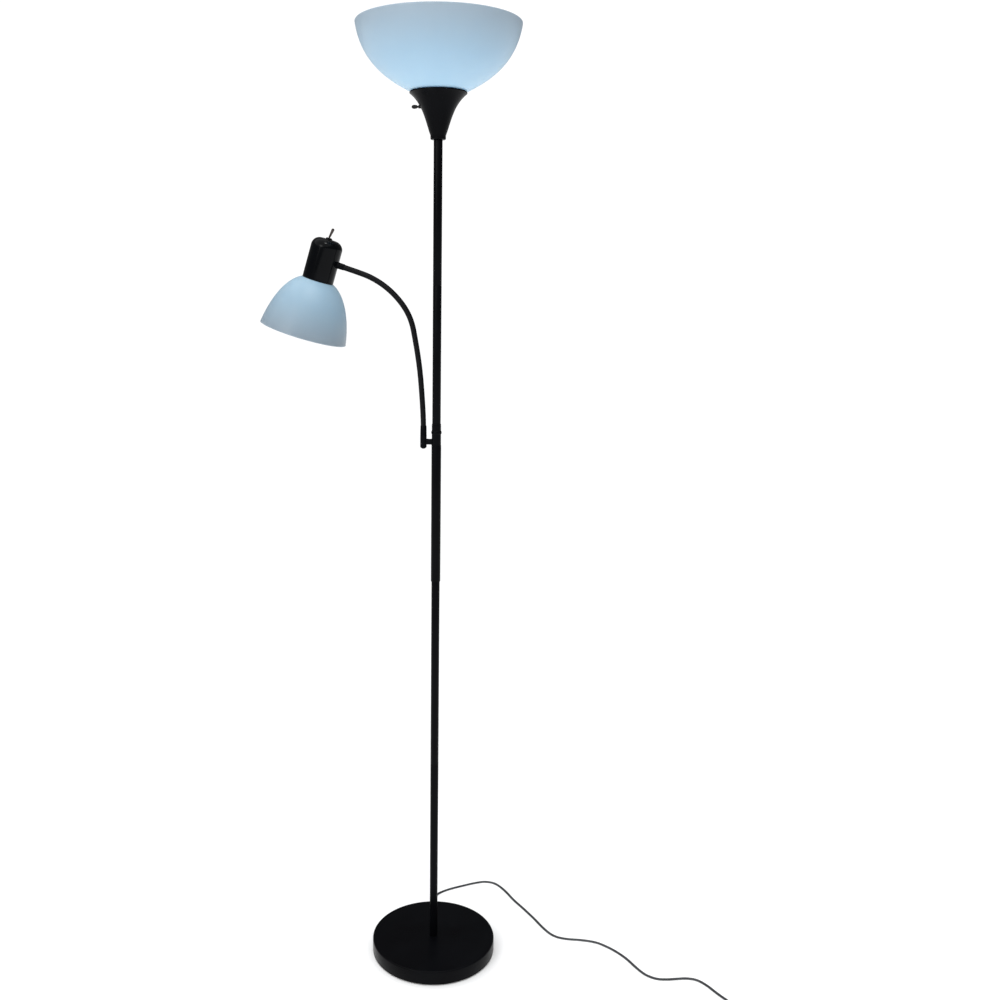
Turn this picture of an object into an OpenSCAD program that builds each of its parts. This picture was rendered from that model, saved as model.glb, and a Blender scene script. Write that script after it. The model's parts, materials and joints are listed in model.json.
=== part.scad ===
// Torchiere floor lamp with a gooseneck reading light.
// Millimetres, +Z up. The origin is on the pole's axis, at the underside of the base.
// The reading arm points along -X, and the mains cord leaves the back of the base.

/* [Overall] */
// Height of the top shade's rim above the floor
lamp_h = 1803; // [1500:1:2200]
// Diameter of the base
base_d = 250; // [200:1:320]
// Height of the base
base_h = 31; // [29:1:45]
// Height of the arm's stub above the floor
arm_z = 1062; // [880:1:1280]

/* [Base] */
// Wall of the pressed steel cover
cover_wall = 1.2; // [0.8:0.1:2]
// Radius of the cover's top edge
cover_edge_r = 3; // [1.5:0.5:5]
// Thickness of the foam pad under the weight
pad_t = 3; // [2:0.5:5]
// Diameter of the washer that clamps the weight to the pole
washer_d = 36; // [28:1:50]

/* [Pole] */
// Outer diameter of the four plain tubes
pole_d = 16; // [15.6:0.1:20]
// Outer diameter of the thicker tube under the arm
mid_pole_d = 18.4; // [16:0.1:24]
// Length of the thicker tube under the arm
mid_pole_l = 266; // [150:1:400]
// Bore of every pole tube
pole_bore = 14.4; // [13:0.1:14.8]
// Bore of the threaded nipples that join the tubes
nipple_bore = 10.4; // [8:0.1:11.4]
// Length of a nipple that joins two tubes
nipple_l = 28; // [20:1:40]

/* [Arm] */
// Distance from the pole's axis to the arm's swivel axis
arm_out = 25; // [22:0.5:40]
// Outer diameter of the stub between the pole and the elbow
stub_d = 11; // [9:0.5:12]
// Outer diameter of the elbow
elbow_d = 12.4; // [12:0.1:16]
// Outer diameter of the gooseneck tube
neck_d = 10.5; // [9:0.1:11]
// Bore of the gooseneck tube
neck_bore = 6.4; // [4:0.1:7]
// Length of one link of the gooseneck, along its centreline
link_l = 49; // [36:0.5:60]

/* [Reading light] */
// Outer diameter of the lamp housing
housing_d = 59; // [56:0.5:80]
// Height of the lamp housing, without its switch
housing_h = 78; // [74:1:100]
// Diameter of the reading shade's mouth
shade_d = 166; // [140:1:220]
// Length of the reading shade, along its axis
shade_l = 104; // [90:1:140]
// How far the shade's shoulder stands out around the housing
shade_lip = 2.5; // [1:0.5:8]
// Wall of the reading shade
shade_wall = 2; // [1.2:0.1:3]

/* [Torchiere] */
// Diameter of the bowl's rim
bowl_d = 295; // [240:1:380]
// Height of the bowl
bowl_h = 116; // [92:1:150]
// Diameter of the bowl's flat bottom
bowl_seat_d = 89; // [80:1:104]
// Wall of the bowl
bowl_wall = 2.4; // [1.6:0.1:3]
// Diameter of the cup's lip, under the bowl
cup_d = 103; // [96:1:140]
// Height of the cup
cup_h = 81; // [76:1:120]
// Diameter of the cup's neck
cup_neck_d = 27.8; // [27.4:0.1:40]
// Wall of the cup
cup_wall = 1.2; // [0.8:0.1:1.8]

/* [Lamp holders] */
// Outer diameter of the screw lamp holders
holder_d = 40; // [36:0.5:44]
// Depth of a lamp holder, from its mouth
holder_l = 46; // [42:1:52]
// Largest diameter of the torchiere's bulb
bowl_bulb_d = 60; // [50:1:66]
// Largest diameter of the reading light's bulb
head_bulb_d = 48; // [40:1:54]

/* [Hidden] */
$fn = 96;
eps = 0.01;

black = "#101114";
dark = "#1c1d21";
steel = "#b9bcc0";
brass = "#c9a34a";
cement = "#a8a59d";
bowl_blue = "#a5bed7";
glass_white = "#f2f4f5";

// Clearances: sliding, screwed and loose
slide_gap = 0.05;
move_gap = 0.3;
loose_gap = 0.5;

// Base
base_r = base_d / 2;
cover_z0 = pad_t - 0.5;
weight_r = base_r - cover_wall - loose_gap;
weight_top = base_h - cover_wall;
weight_chamfer = cover_edge_r - cover_wall + loose_gap;
nipple_r = pole_bore / 2;
hole_r = nipple_r + move_gap;
washer_t = 2;
nut_t = 6;
clamp_z = base_h - 10;
nut_z = clamp_z - washer_t - nut_t;
nut_r = 11;
lead_r = 2.2;
lead_gap = 0.6;
slot_top = 13.5;

// Where the cord leaves, at the back of the base
exit_turn = 102;
exit_z = 9;
relief_neck_r = 4.6;
relief_flange_r = 7;
relief_tip_r = 3.6;
relief_l = 26;

// Pole
pole_r = pole_d / 2;
mid_r = mid_pole_d / 2;
coupling_z0 = arm_z - 6;
coupling_z1 = arm_z + 34;
mid_z = coupling_z0 - mid_pole_l;
low_joint_z = (base_h + mid_z) / 2;
bowl_z = lamp_h - bowl_h;
cup_lap = 1.5;
cup_z = bowl_z + cup_lap - cup_h;
top_joint_z = (coupling_z1 + cup_z) / 2;

// Arm and gooseneck
neck_r = neck_d / 2;
ball_r = neck_r + 0.15;
neck_z = arm_z + 14;
ferrule_l = 16;
// Turn of each link's arc in the stored pose, from the swivel to the head, in degrees
link_turns = [3.5, 1.5, 4, 2.5, 25, 17.5, 17.5, 1.5];
link_count = len(link_turns);
spigot_r = 3.5;
pocket_r = elbow_d / 2 - 1;
elbow_z0 = arm_z - 10;
bearing_z = arm_z + 6.2;
bead_r = 6.1;
bead_in = 5.4;

// Direction (degrees from +Z towards -X) and place [x, z] where link i starts
function link_heading(i) = i == 0 ? 0 : link_heading(i - 1) + link_turns[i - 1];
function chord(i) =
  let (a = link_turns[i], mid = link_heading(i) + a / 2,
       c = link_l * sin(a / 2) / (a * PI / 360))
  [-c * sin(mid), c * cos(mid)];
function link_at(i) = i == 0 ? [-arm_out, neck_z] : link_at(i - 1) + chord(i - 1);
function bend_r(i) = link_l / (link_turns[i] * PI / 180);

// Reading light: its own frame stands on the housing's open end, +Z up the housing
housing_r = housing_d / 2;
housing_wall = 2;
entry_h = 38;
neck_end = link_at(link_count);
head_tilt = 90 - link_heading(link_count);
head_at = neck_end - [housing_r * cos(head_tilt) + entry_h * sin(head_tilt),
                      entry_h * cos(head_tilt) - housing_r * sin(head_tilt)];
holder_r = holder_d / 2;
holder_out = 8;
cap_r = 13.3;
holder_bore_r = 14.4;
ring_t = 5;
ring_r = holder_r + 5.5;
dome_r = 16;
switch_z = holder_l - holder_out;
switch_bush_r = 4.5;
key_r = 1.8;
key_lean = 11;

// Torchiere
bowl_r = bowl_d / 2;
cup_r = cup_d / 2;
cup_neck_r = cup_neck_d / 2;
cup_floor = 1.5;
knob_z = cup_z + 57;
knob_stem_r = 1.6;
knob_tip_x = 48.8;
knob_l = 11;
knob_switch_x = 28;
knob_bush_r = 3;
holder_mouth_z = bowl_z + holder_out;

// Cord
cord_w = 5.4;
cord_t = 2.7;
cord_z = cord_t / 2 + 0.05;
cord_sides = 8;
coil_z0 = 0.8;
// Route along the floor, from the tip of the strain relief to the coil
cord_points = [
  [-34, 159, 8.8], [-36, 175, 5.4], [-34, 190, 2.2], [-27, 204, cord_z], [-14, 218, cord_z],
  [2, 231, cord_z], [22, 245, cord_z], [43, 259, cord_z], [65, 269, cord_z], [89, 266, cord_z],
  [114, 243, cord_z], [141, 207, cord_z], [167, 177, cord_z], [194, 144, cord_z],
  [220, 110, cord_z], [242, 90, cord_z], [267, 84, cord_z], [300, 86, cord_z],
  [330, 84, cord_z], [353, 74, cord_z], [374, 60, cord_z], [395, 41, cord_z],
  [415, 16, cord_z], [435, -5, cord_z], [457, -14, cord_z], [478, -12, cord_z],
  [498, -6, cord_z], [518, -1, cord_z], [537, -3, cord_z], [555, -16, cord_z],
  [574, -37, cord_z], [593, -56, cord_z], [612, -75, cord_z], [638, -104, coil_z0 + cord_t / 2]
];
coil_at = [610.2, -129];
coil_mid_r = 32;
coil_rows = 3;
coil_h = 2 * cord_t;
coil_in_r = coil_mid_r - coil_rows * cord_w / 2;
coil_out_r = coil_mid_r + coil_rows * cord_w / 2;
tie_t = 0.8;
tie_turn = 14;
tie_at = 165;
plug_x = 600;
plug_z = 6.3;
plug_w = 24;
plug_t = 12;
plug_relief_l = 16;
plug_l = 25;
blade_l = 17.5;
blade_t = 1.5;
blade_w = 6.35;
wide_blade = 7.9;
blade_root = 6;
blade_pitch = 12.7;

// Shared shapes
function bezier(p, t) =
  let (u = 1 - t) u*u*u*p[0] + 3*u*u*t*p[1] + 3*u*t*t*p[2] + t*t*t*p[3];
function slope(p, t) =
  let (u = 1 - t) 3*u*u*(p[1] - p[0]) + 6*u*t*(p[2] - p[1]) + 3*t*t*(p[3] - p[2]);
function beside(p, t, d) = let (s = slope(p, t)) bezier(p, t) + d * [-s.y, s.x] / norm(s);
function curve(p, n) = [for (i = [0:n]) bezier(p, i / n)];
function curve_beside(p, n, d) = [for (i = [n:-1:0]) beside(p, i / n, d)];

module tube(r, bore, z0, z1) {
  translate([0, 0, z0]) difference() {
    cylinder(r = r, h = z1 - z0);
    translate([0, 0, -1]) cylinder(r = bore, h = z1 - z0 + 2);
  }
}

module hex_nut(r, bore, z0, t) {
  translate([0, 0, z0]) difference() {
    cylinder(r = r, h = t, $fn = 6);
    translate([0, 0, -1]) cylinder(r = bore, h = t + 2);
  }
}

// Base
module base_pad() color(dark) cylinder(r = weight_r - 4, h = pad_t);

module wire_slot() {
  rotate([0, 0, exit_turn]) {
    translate([0, -lead_r - lead_gap - 1, 0])
      cube([base_r, 2 * (lead_r + lead_gap + 1), slot_top]);
    translate([weight_r - 12, -relief_flange_r - 1, 0])
      cube([20, 2 * (relief_flange_r + 1), exit_z + relief_flange_r + 1]);
  }
}

module base_weight() color(cement) difference() {
  union() {
    translate([0, 0, pad_t]) cylinder(r = weight_r, h = weight_top - weight_chamfer - pad_t);
    translate([0, 0, weight_top - weight_chamfer])
      cylinder(r1 = weight_r, r2 = weight_r - weight_chamfer, h = weight_chamfer);
  }
  translate([0, 0, -1]) cylinder(r = washer_d / 2 + 2, h = clamp_z + 1);
  cylinder(r = hole_r, h = base_h + 1);
  wire_slot();
}

module cover_profile(r, top, edge) {
  square([r, top - edge]);
  square([r - edge, top]);
  translate([r - edge, top - edge]) circle(r = edge);
}

module base_cover() color(black) difference() {
  rotate_extrude() intersection() {
    cover_profile(base_r, base_h, cover_edge_r);
    translate([0, cover_z0]) square([base_r, base_h]);
  }
  rotate_extrude() intersection() {
    cover_profile(base_r - cover_wall, base_h - cover_wall, cover_edge_r - cover_wall);
    square([base_r, base_h]);
  }
  cylinder(r = hole_r, h = base_h + 1);
  rotate([0, 0, exit_turn]) translate([base_r - 5, 0, exit_z]) rotate([0, 90, 0])
    cylinder(r = relief_neck_r, h = 10);
}

module base_nipple() color(steel) tube(nipple_r, nipple_bore / 2, nut_z - 0.5, base_h + nipple_l / 2);
module base_washer() color(steel) tube(washer_d / 2, hole_r, clamp_z - washer_t, clamp_z);
module base_nut() color(steel) hex_nut(nut_r, nipple_r, nut_z, nut_t);

module strain_relief() color(black) rotate([0, 0, exit_turn]) translate([0, 0, exit_z])
  rotate([0, 90, 0]) rotate_extrude() polygon([
    [0, base_r - cover_wall - 2.5], [relief_flange_r - 1, base_r - cover_wall - 2.5],
    [relief_flange_r, base_r - cover_wall - 1.5], [relief_flange_r, base_r - cover_wall - 0.4],
    [relief_neck_r, base_r - cover_wall - 0.4], [relief_neck_r, base_r + 0.2],
    [relief_flange_r - 0.6, base_r + 0.2], [relief_flange_r - 0.6, base_r + 1.4],
    [relief_neck_r + 1, base_r + 2.6], [relief_tip_r, base_r + relief_l],
    [0, base_r + relief_l]]);

module base_lead() color(dark) {
  rotate([0, 0, exit_turn]) translate([0, 0, exit_z]) rotate([0, 90, 0])
    cylinder(r = lead_r, h = base_r - cover_wall - 2.5);
  translate([0, 0, exit_z]) sphere(r = lead_r);
  translate([0, 0, exit_z]) cylinder(r = lead_r, h = base_h + nipple_l / 2 - exit_z);
}

// Pole
module pole_tube_1() color(black) tube(pole_r, nipple_r, base_h, low_joint_z);
module pole_tube_2() color(black) tube(pole_r, nipple_r, low_joint_z, mid_z);
module pole_tube_3() color(black) tube(mid_r, nipple_r, mid_z, coupling_z0);
module pole_tube_4() color(black) tube(pole_r, nipple_r, coupling_z1, top_joint_z);
module pole_tube_5() color(black) tube(pole_r, nipple_r, top_joint_z, cup_z);
module pole_nipples() color(steel) for (z = [low_joint_z, mid_z, top_joint_z])
  tube(nipple_r, nipple_bore / 2, z - nipple_l / 2, z + nipple_l / 2);
module pole_wire() color(dark) translate([0, 0, base_h + nipple_l / 2])
  cylinder(r = lead_r, h = holder_mouth_z - holder_l - base_h - nipple_l / 2);

// Turned coupling that carries the arm: a bead, a neck, and a spigot into each tube
module arm_coupling() color(black) difference() {
  union() {
    rotate_extrude() difference() {
      union() {
        translate([0, coupling_z0]) square([mid_r - 0.4, coupling_z1 - coupling_z0]);
        translate([0, coupling_z1 - 16]) intersection() {
          translate([mid_r - bead_in, 0]) circle(r = bead_r);
          translate([0, -8]) square([20, 16]);
        }
      }
      translate([-20, coupling_z0 - 1]) square([20, coupling_z1 - coupling_z0 + 2]);
    }
    translate([0, 0, coupling_z0 - 12])
      cylinder(r = nipple_r, h = coupling_z1 - coupling_z0 + 24);
  }
  translate([0, 0, coupling_z0 - 13])
    cylinder(r = nipple_bore / 2, h = coupling_z1 - coupling_z0 + 26);
  translate([0, 0, arm_z]) rotate([0, -90, 0]) cylinder(r = stub_d / 2 - 1.5, h = 30);
}

module arm_stub() color(black) difference() {
  translate([0, 0, arm_z]) rotate([0, -90, 0]) cylinder(r = stub_d / 2, h = arm_out);
  translate([1, 0, arm_z]) rotate([0, -90, 0]) cylinder(r = stub_d / 2 - 1.5, h = arm_out + 2);
  translate([0, 0, arm_z - 10]) cylinder(r = mid_r - 0.4, h = 20);
  translate([-arm_out, 0, arm_z - 20]) cylinder(r = elbow_d / 2, h = 40);
}

module arm_elbow() color(black) difference() {
  translate([-arm_out, 0, elbow_z0]) cylinder(r = elbow_d / 2, h = neck_z - elbow_z0);
  translate([-arm_out, 0, elbow_z0 - 1]) cylinder(r = pocket_r, h = bearing_z - elbow_z0 + 1);
  translate([-arm_out, 0, bearing_z - 1]) cylinder(r = spigot_r + slide_gap, h = 30);
  translate([0, 0, arm_z]) rotate([0, -90, 0]) cylinder(r = stub_d / 2 - 1.5, h = arm_out);
}

module elbow_cap() color(black) translate([-arm_out, 0, 0]) {
  translate([0, 0, elbow_z0]) cylinder(r = pocket_r, h = 2);
  translate([0, 0, elbow_z0]) intersection() {
    translate([0, 0, elbow_d / 4]) sphere(r = elbow_d / 2 * 1.12);
    translate([0, 0, -elbow_d / 2]) cylinder(r = elbow_d / 2, h = elbow_d / 2);
  }
}

module swivel_nut() color(steel) translate([-arm_out, 0, 0])
  hex_nut(pocket_r - loose_gap, spigot_r, bearing_z - move_gap - 3.4, 3.4);

// The arc of link i, as a rod of radius r that runs on past both ends by the given length
module neck_arc(i, r, past = 0) {
  p = link_at(i);
  more = past / bend_r(i) * 180 / PI;
  translate([p.x, 0, p.y]) rotate([0, -link_heading(i), 0]) translate([-bend_r(i), 0, 0])
    rotate([90, 0, 0]) rotate([0, 0, -more]) rotate_extrude(angle = link_turns[i] + 2 * more)
      translate([bend_r(i), 0]) circle(r = r);
}

module arm_ferrule() color(black) difference() {
  union() {
    translate([-arm_out, 0, neck_z + move_gap])
      cylinder(r1 = elbow_d / 2, r2 = neck_r + 0.5, h = ferrule_l);
    translate([-arm_out, 0, bearing_z - move_gap - 3.6])
      cylinder(r = spigot_r, h = neck_z - bearing_z + 5);
  }
  translate([-arm_out, 0, arm_z]) cylinder(r = 2.4, h = 60);
  neck_arc(0, neck_r);
}

// One link of the gooseneck: a ball at its start, and a cup at its end for the next link's ball
module neck_link(i) color(black) difference() {
  union() {
    neck_arc(i, neck_r);
    if (i > 0) translate([link_at(i).x, 0, link_at(i).y]) sphere(r = ball_r);
  }
  neck_arc(i, neck_bore / 2, 2 * neck_r);
  if (i < link_count - 1)
    translate([link_at(i + 1).x, 0, link_at(i + 1).y]) sphere(r = ball_r + move_gap);
  if (i == 0) translate([-arm_out - 20, -20, neck_z - 20]) cube([40, 40, 20 + move_gap + 4]);
}
module neck_link_1() neck_link(0);
module neck_link_2() neck_link(1);
module neck_link_3() neck_link(2);
module neck_link_4() neck_link(3);
module neck_link_5() neck_link(4);
module neck_link_6() neck_link(5);
module neck_link_7() neck_link(6);
module neck_link_8() neck_link(7);

// Lamp holder parts, mouth at z = 0 and opening along +Z
module holder_body() color(black) difference() {
  translate([0, 0, -holder_l]) cylinder(r = holder_r, h = holder_l);
  translate([0, 0, -32]) cylinder(r = holder_bore_r, h = 40);
  translate([0, 0, -holder_l - 1]) cylinder(r = 3.2, h = holder_l);
}
module holder_shell() color(brass) tube(holder_bore_r, cap_r + 0.4, -30, -2);
module holder_contact() color(brass) translate([0, 0, -32]) {
  cylinder(r = 8, h = 0.8);
  cylinder(r = 4, h = 2.5);
}
module bulb_cap() color(steel) {
  translate([0, 0, -27]) cylinder(r = cap_r, h = 26);
  translate([0, 0, -29.5]) cylinder(r1 = 5, r2 = 11, h = 2.5);
}
module bulb_glass(d, l) color(glass_white) {
  ball_z = l - d / 2;
  neck = [[cap_r - 0.3, -1], [cap_r + 1, 12], [d * 0.42, ball_z - d * 0.55],
          [d / 2 * cos(12), ball_z - d / 2 * sin(12)]];
  rotate_extrude() union() {
    polygon(concat([[0, -1]], curve(neck, 12), [[0, neck[3].y]]));
    intersection() {
      translate([0, ball_z]) circle(d = d);
      translate([0, neck[3].y - eps]) square([d, d]);
    }
  }
}
module shade_ring(z0) color(black) difference() {
  translate([0, 0, z0]) cylinder(r = ring_r, h = ring_t);
  translate([0, 0, z0 - 1]) cylinder(r = holder_r, h = ring_t + 2);
  for (a = [0:30:330]) rotate([0, 0, a]) translate([ring_r + 1.2, 0, z0 - 1])
    cylinder(r = 2, h = ring_t + 2, $fn = 24);
}

// Reading light
module at_head() translate([head_at.x, 0, head_at.y]) rotate([0, head_tilt, 0]) children();
module at_head_holder() at_head() translate([0, 0, -holder_out]) rotate([180, 0, 0]) children();

module housing_profile(r, top, edge) {
  square([r, top - edge]);
  square([r - edge, top]);
  translate([r - edge, top - edge]) circle(r = edge);
}

module head_housing() color(black) at_head() difference() {
  rotate_extrude() intersection() {
    housing_profile(housing_r, housing_h, dome_r);
    square([housing_r, housing_h]);
  }
  translate([0, 0, -1]) rotate_extrude() intersection() {
    housing_profile(housing_r - housing_wall, housing_h - housing_wall + 1, dome_r - housing_wall);
    square([housing_r, housing_h]);
  }
  cylinder(r = switch_bush_r, h = housing_h + 1);
  translate([0, 0, entry_h]) rotate([0, 90, 0]) cylinder(r = 4.5, h = housing_r + 5);
}

module head_ferrule() color(black) difference() {
  at_head() translate([0, 0, entry_h]) rotate([0, 90, 0]) {
    cylinder(r = 4.5, h = housing_r);
    translate([0, 0, housing_r - 2]) cylinder(r1 = neck_r + 1, r2 = neck_r + 0.5, h = 15);
  }
  difference() {
    at_head() cylinder(r = housing_r, h = housing_h);
    at_head() translate([housing_r - housing_wall - 3.4, 0, entry_h]) rotate([0, 90, 0])
      cylinder(r = 4.5, h = 20);
  }
  at_head() translate([0, 0, entry_h]) rotate([0, 90, 0]) cylinder(r = 2.6, h = housing_r + 1);
  neck_arc(link_count - 1, neck_r);
}

module head_locknut() color(steel) at_head() translate([0, 0, entry_h]) rotate([0, 90, 0])
  difference() {
    hex_nut(8, 4.5, housing_r - housing_wall - 3.2, 3);
    rotate([0, -90, 0]) difference() {
      translate([0, 0, -20]) cylinder(r = housing_r + 5, h = 40);
      translate([0, 0, -21]) cylinder(r = housing_r - housing_wall, h = 42);
    }
  }

module head_holder() at_head_holder() holder_body();
module head_shell() at_head_holder() holder_shell();
module head_contact() at_head_holder() holder_contact();
module head_bulb_cap() at_head_holder() bulb_cap();
module head_bulb_glass() at_head_holder() bulb_glass(head_bulb_d, 62);

module head_shade() color(bowl_blue) at_head() rotate_extrude() {
  lip_r = housing_r + shade_lip;
  grow = shade_d / 2 - lip_r;
  outline = [[lip_r, 0], [lip_r + 0.4 * grow, -0.1 * shade_l],
             [lip_r + 0.82 * grow, -0.43 * shade_l], [shade_d / 2, -shade_l]];
  polygon(concat([[holder_r + 0.4, 0]], curve(outline, 16),
    curve_beside(outline, 16, -shade_wall), [[holder_r + 0.4, -shade_wall]]));
}
module head_shade_ring() at_head() shade_ring(-shade_wall - ring_t);

module head_switch() color(dark) at_head() difference() {
  union() {
    translate([0, 0, switch_z]) cylinder(r = 15, h = 14);
    translate([0, 0, switch_z]) cylinder(r = switch_bush_r, h = housing_h + 3 - switch_z);
  }
  translate([0, 0, switch_z + 6]) cylinder(r = key_r + slide_gap, h = housing_h);
}
module head_switch_nut() color(black) at_head() hex_nut(6.4, switch_bush_r, housing_h, 2.4);

module head_switch_key() color(steel) at_head() {
  translate([0, 0, switch_z + 6 + move_gap]) cylinder(r = key_r, h = housing_h + 5 - switch_z - 6);
  translate([0, 0, housing_h + 5]) rotate([0, key_lean, 0]) rotate([90, 0, 0])
    translate([0, 0, -1.1]) linear_extrude(2.2) {
      polygon([[-1.7, -1], [1.7, -1], [2.7, 14], [-2.7, 14]]);
      translate([0, 14]) circle(r = 2.7);
    }
}

// Torchiere
module cup_outline(extra) {
  grow = cup_r - cup_neck_r;
  outline = [[cup_neck_r, 7], [cup_neck_r + 0.21 * grow, 0.334 * cup_h],
             [cup_neck_r + 0.342 * grow, 0.739 * cup_h], [cup_r, 0.975 * cup_h]];
  polygon(concat([[0, 0], [cup_neck_r - 3, 0], [cup_neck_r, 2]], curve(outline, 18),
    [[cup_r, cup_h]], curve_beside(outline, 18, extra),
    [[cup_neck_r - extra, cup_floor], [0, cup_floor]]));
}

module cup() color(black) translate([0, 0, cup_z]) difference() {
  rotate_extrude() cup_outline(cup_wall);
  translate([0, 0, -1]) cylinder(r = hole_r, h = 10);
  translate([0, 0, knob_z - cup_z]) rotate([0, -90, 0]) cylinder(r = knob_bush_r, h = 60);
}

module cup_nipple() color(steel)
  tube(nipple_r, nipple_bore / 2, cup_z - nipple_l / 2, holder_mouth_z - holder_l);
module cup_locknut() color(steel) hex_nut(11, nipple_r, cup_z + cup_floor, 5);
module bowl_seat() color(steel) difference() {
  translate([0, 0, bowl_z - 2]) cylinder(r = bowl_seat_d / 2, h = 2);
  translate([0, 0, bowl_z - 3]) cylinder(r = holder_r, h = 4);
  for (a = [45:90:315]) rotate([0, 0, a]) translate([holder_r + 13, 0, bowl_z - 3])
    cylinder(r = 5, h = 4);
}

module at_bowl_holder() translate([0, 0, holder_mouth_z]) children();
module bowl_holder() at_bowl_holder() holder_body();
module bowl_shell() at_bowl_holder() holder_shell();
module bowl_contact() at_bowl_holder() holder_contact();
module bowl_bulb_cap() at_bowl_holder() bulb_cap();
module bowl_bulb_glass() at_bowl_holder() bulb_glass(bowl_bulb_d, 80);

module bowl_shade() color(bowl_blue) translate([0, 0, bowl_z]) rotate_extrude() {
  seat_r = bowl_seat_d / 2;
  grow = bowl_r - seat_r;
  outline = [[seat_r, 0], [seat_r + 0.516 * grow, 0.211 * bowl_h],
             [seat_r + 0.908 * grow, 0.47 * bowl_h], [bowl_r, bowl_h]];
  polygon(concat([[holder_r + 0.4, 0]], curve(outline, 20),
    curve_beside(outline, 20, bowl_wall), [[holder_r + 0.4, bowl_wall]]));
}
module bowl_shade_ring() shade_ring(bowl_z + bowl_wall);

module bowl_switch() color(dark) difference() {
  union() {
    translate([-knob_switch_x, -6, knob_z - 6]) cube([knob_switch_x - holder_r - 0.2, 12, 12]);
    translate([-36, 0, knob_z]) rotate([0, 90, 0]) cylinder(r = knob_bush_r, h = 8);
  }
  translate([-24, 0, knob_z]) rotate([0, -90, 0]) cylinder(r = knob_stem_r + slide_gap, h = 20);
}

module bowl_switch_knob() color(black) translate([0, 0, knob_z]) rotate([0, -90, 0]) {
  translate([0, 0, 24 + move_gap]) cylinder(r = knob_stem_r, h = 14);
  intersection() {
    translate([0, 0, knob_tip_x - knob_l]) rotate_extrude($fn = 48)
      polygon(concat([[0, 0]], curve([[1.8, 0], [4, 2.5], [4.6, knob_l], [0, knob_l]], 12)));
    translate([-6, -2.1, knob_tip_x - knob_l - 1]) cube([12, 4.2, knob_l + 2]);
  }
}

// Mains cord: a flat two-core flex, swept along the route through every point
relief_tip = [for (r = [base_r + relief_l]) [r * cos(exit_turn), r * sin(exit_turn), exit_z]];
route = concat(relief_tip, cord_points);
last = len(route) - 1;
function hermite(a, b, ta, tb, t) =
  (2*t*t*t - 3*t*t + 1)*a + (t*t*t - 2*t*t + t)*ta + (3*t*t - 2*t*t*t)*b + (t*t*t - t*t)*tb;
function tangent(i) = (route[min(i + 1, last)] - route[max(i - 1, 0)]) / 2;
function route_at(s) = let (i = min(floor(s), last - 1))
  hermite(route[i], route[i + 1], tangent(i), tangent(i + 1), s - i);
rings = 2 * last;
function ring_dir(k) = route_at(min(k / 2 + 0.1, last)) - route_at(max(k / 2 - 0.1, 0));
function ring(k) =
  let (c = route_at(k / 2), d = ring_dir(k) / norm(ring_dir(k)),
       side = [d.y, -d.x, 0] / norm([d.x, d.y]), up = cross(side, d))
  [for (j = [0:cord_sides - 1]) let (a = 360 * (j + 0.5) / cord_sides)
    c + side * cos(a) * cord_w / 2 + up * sin(a) * cord_t / 2];

module cord_tube() color(dark) polyhedron(
  points = [for (k = [0:rings]) each ring(k)],
  faces = concat(
    [[for (j = [0:cord_sides - 1]) j]],
    [[for (j = [cord_sides - 1:-1:0]) rings * cord_sides + j]],
    [for (k = [0:rings - 1]) for (j = [0:cord_sides - 1])
      let (a = k * cord_sides + j, b = k * cord_sides + (j + 1) % cord_sides)
      [a, a + cord_sides, b + cord_sides, b]]));

module coil_profile(grow) {
  h = coil_h + 2 * grow;
  translate([coil_in_r - grow + h / 4, coil_z0 - grow])
    square([coil_out_r - coil_in_r + 2 * grow - h / 2, h]);
  for (x = [coil_in_r - grow + h / 4, coil_out_r + grow - h / 4])
    for (z = [coil_z0 - grow + h / 4, coil_z0 - grow + 3 * h / 4]) translate([x, z]) circle(r = h / 4);
  translate([coil_in_r - grow, coil_z0 - grow + h / 4])
    square([coil_out_r - coil_in_r + 2 * grow, h / 2]);
}
// The length that is put away: the outer shape of a neat coil, tied once round the bundle
module cord_coil() color(dark) translate([coil_at.x, coil_at.y, 0])
  rotate_extrude() coil_profile(0);
module cord_tie() color(black) translate([coil_at.x, coil_at.y, 0])
  rotate([0, 0, tie_at]) rotate_extrude(angle = tie_turn) difference() {
    coil_profile(tie_t);
    coil_profile(0);
  }

module at_plug() translate([plug_x, coil_at.y - coil_mid_r - cord_w, plug_z])
  rotate([0, -90, 0]) children();
module blades() for (s = [-1, 1])
  translate([-(s > 0 ? wide_blade : blade_w) / 2, s * blade_pitch / 2 - blade_t / 2,
             plug_relief_l + plug_l - blade_root])
    cube([s > 0 ? wide_blade : blade_w, blade_t, blade_l + blade_root]);
module cord_plug() color(black) at_plug() difference() {
  union() {
    hull() {
      linear_extrude(0.5) square([4, 6.4], center = true);
      translate([0, 0, plug_relief_l - 0.5]) linear_extrude(0.5) square([7.5, 11], center = true);
    }
    hull() {
      translate([0, 0, plug_relief_l - 0.5]) linear_extrude(2) square([9, 13], center = true);
      translate([0, 0, plug_relief_l + plug_l - 3]) linear_extrude(3)
        offset(r = 2, $fn = 32) square([plug_t - 4, plug_w - 4], center = true);
    }
  }
  blades();
}
module plug_blades() color(brass) at_plug() blades();

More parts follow.
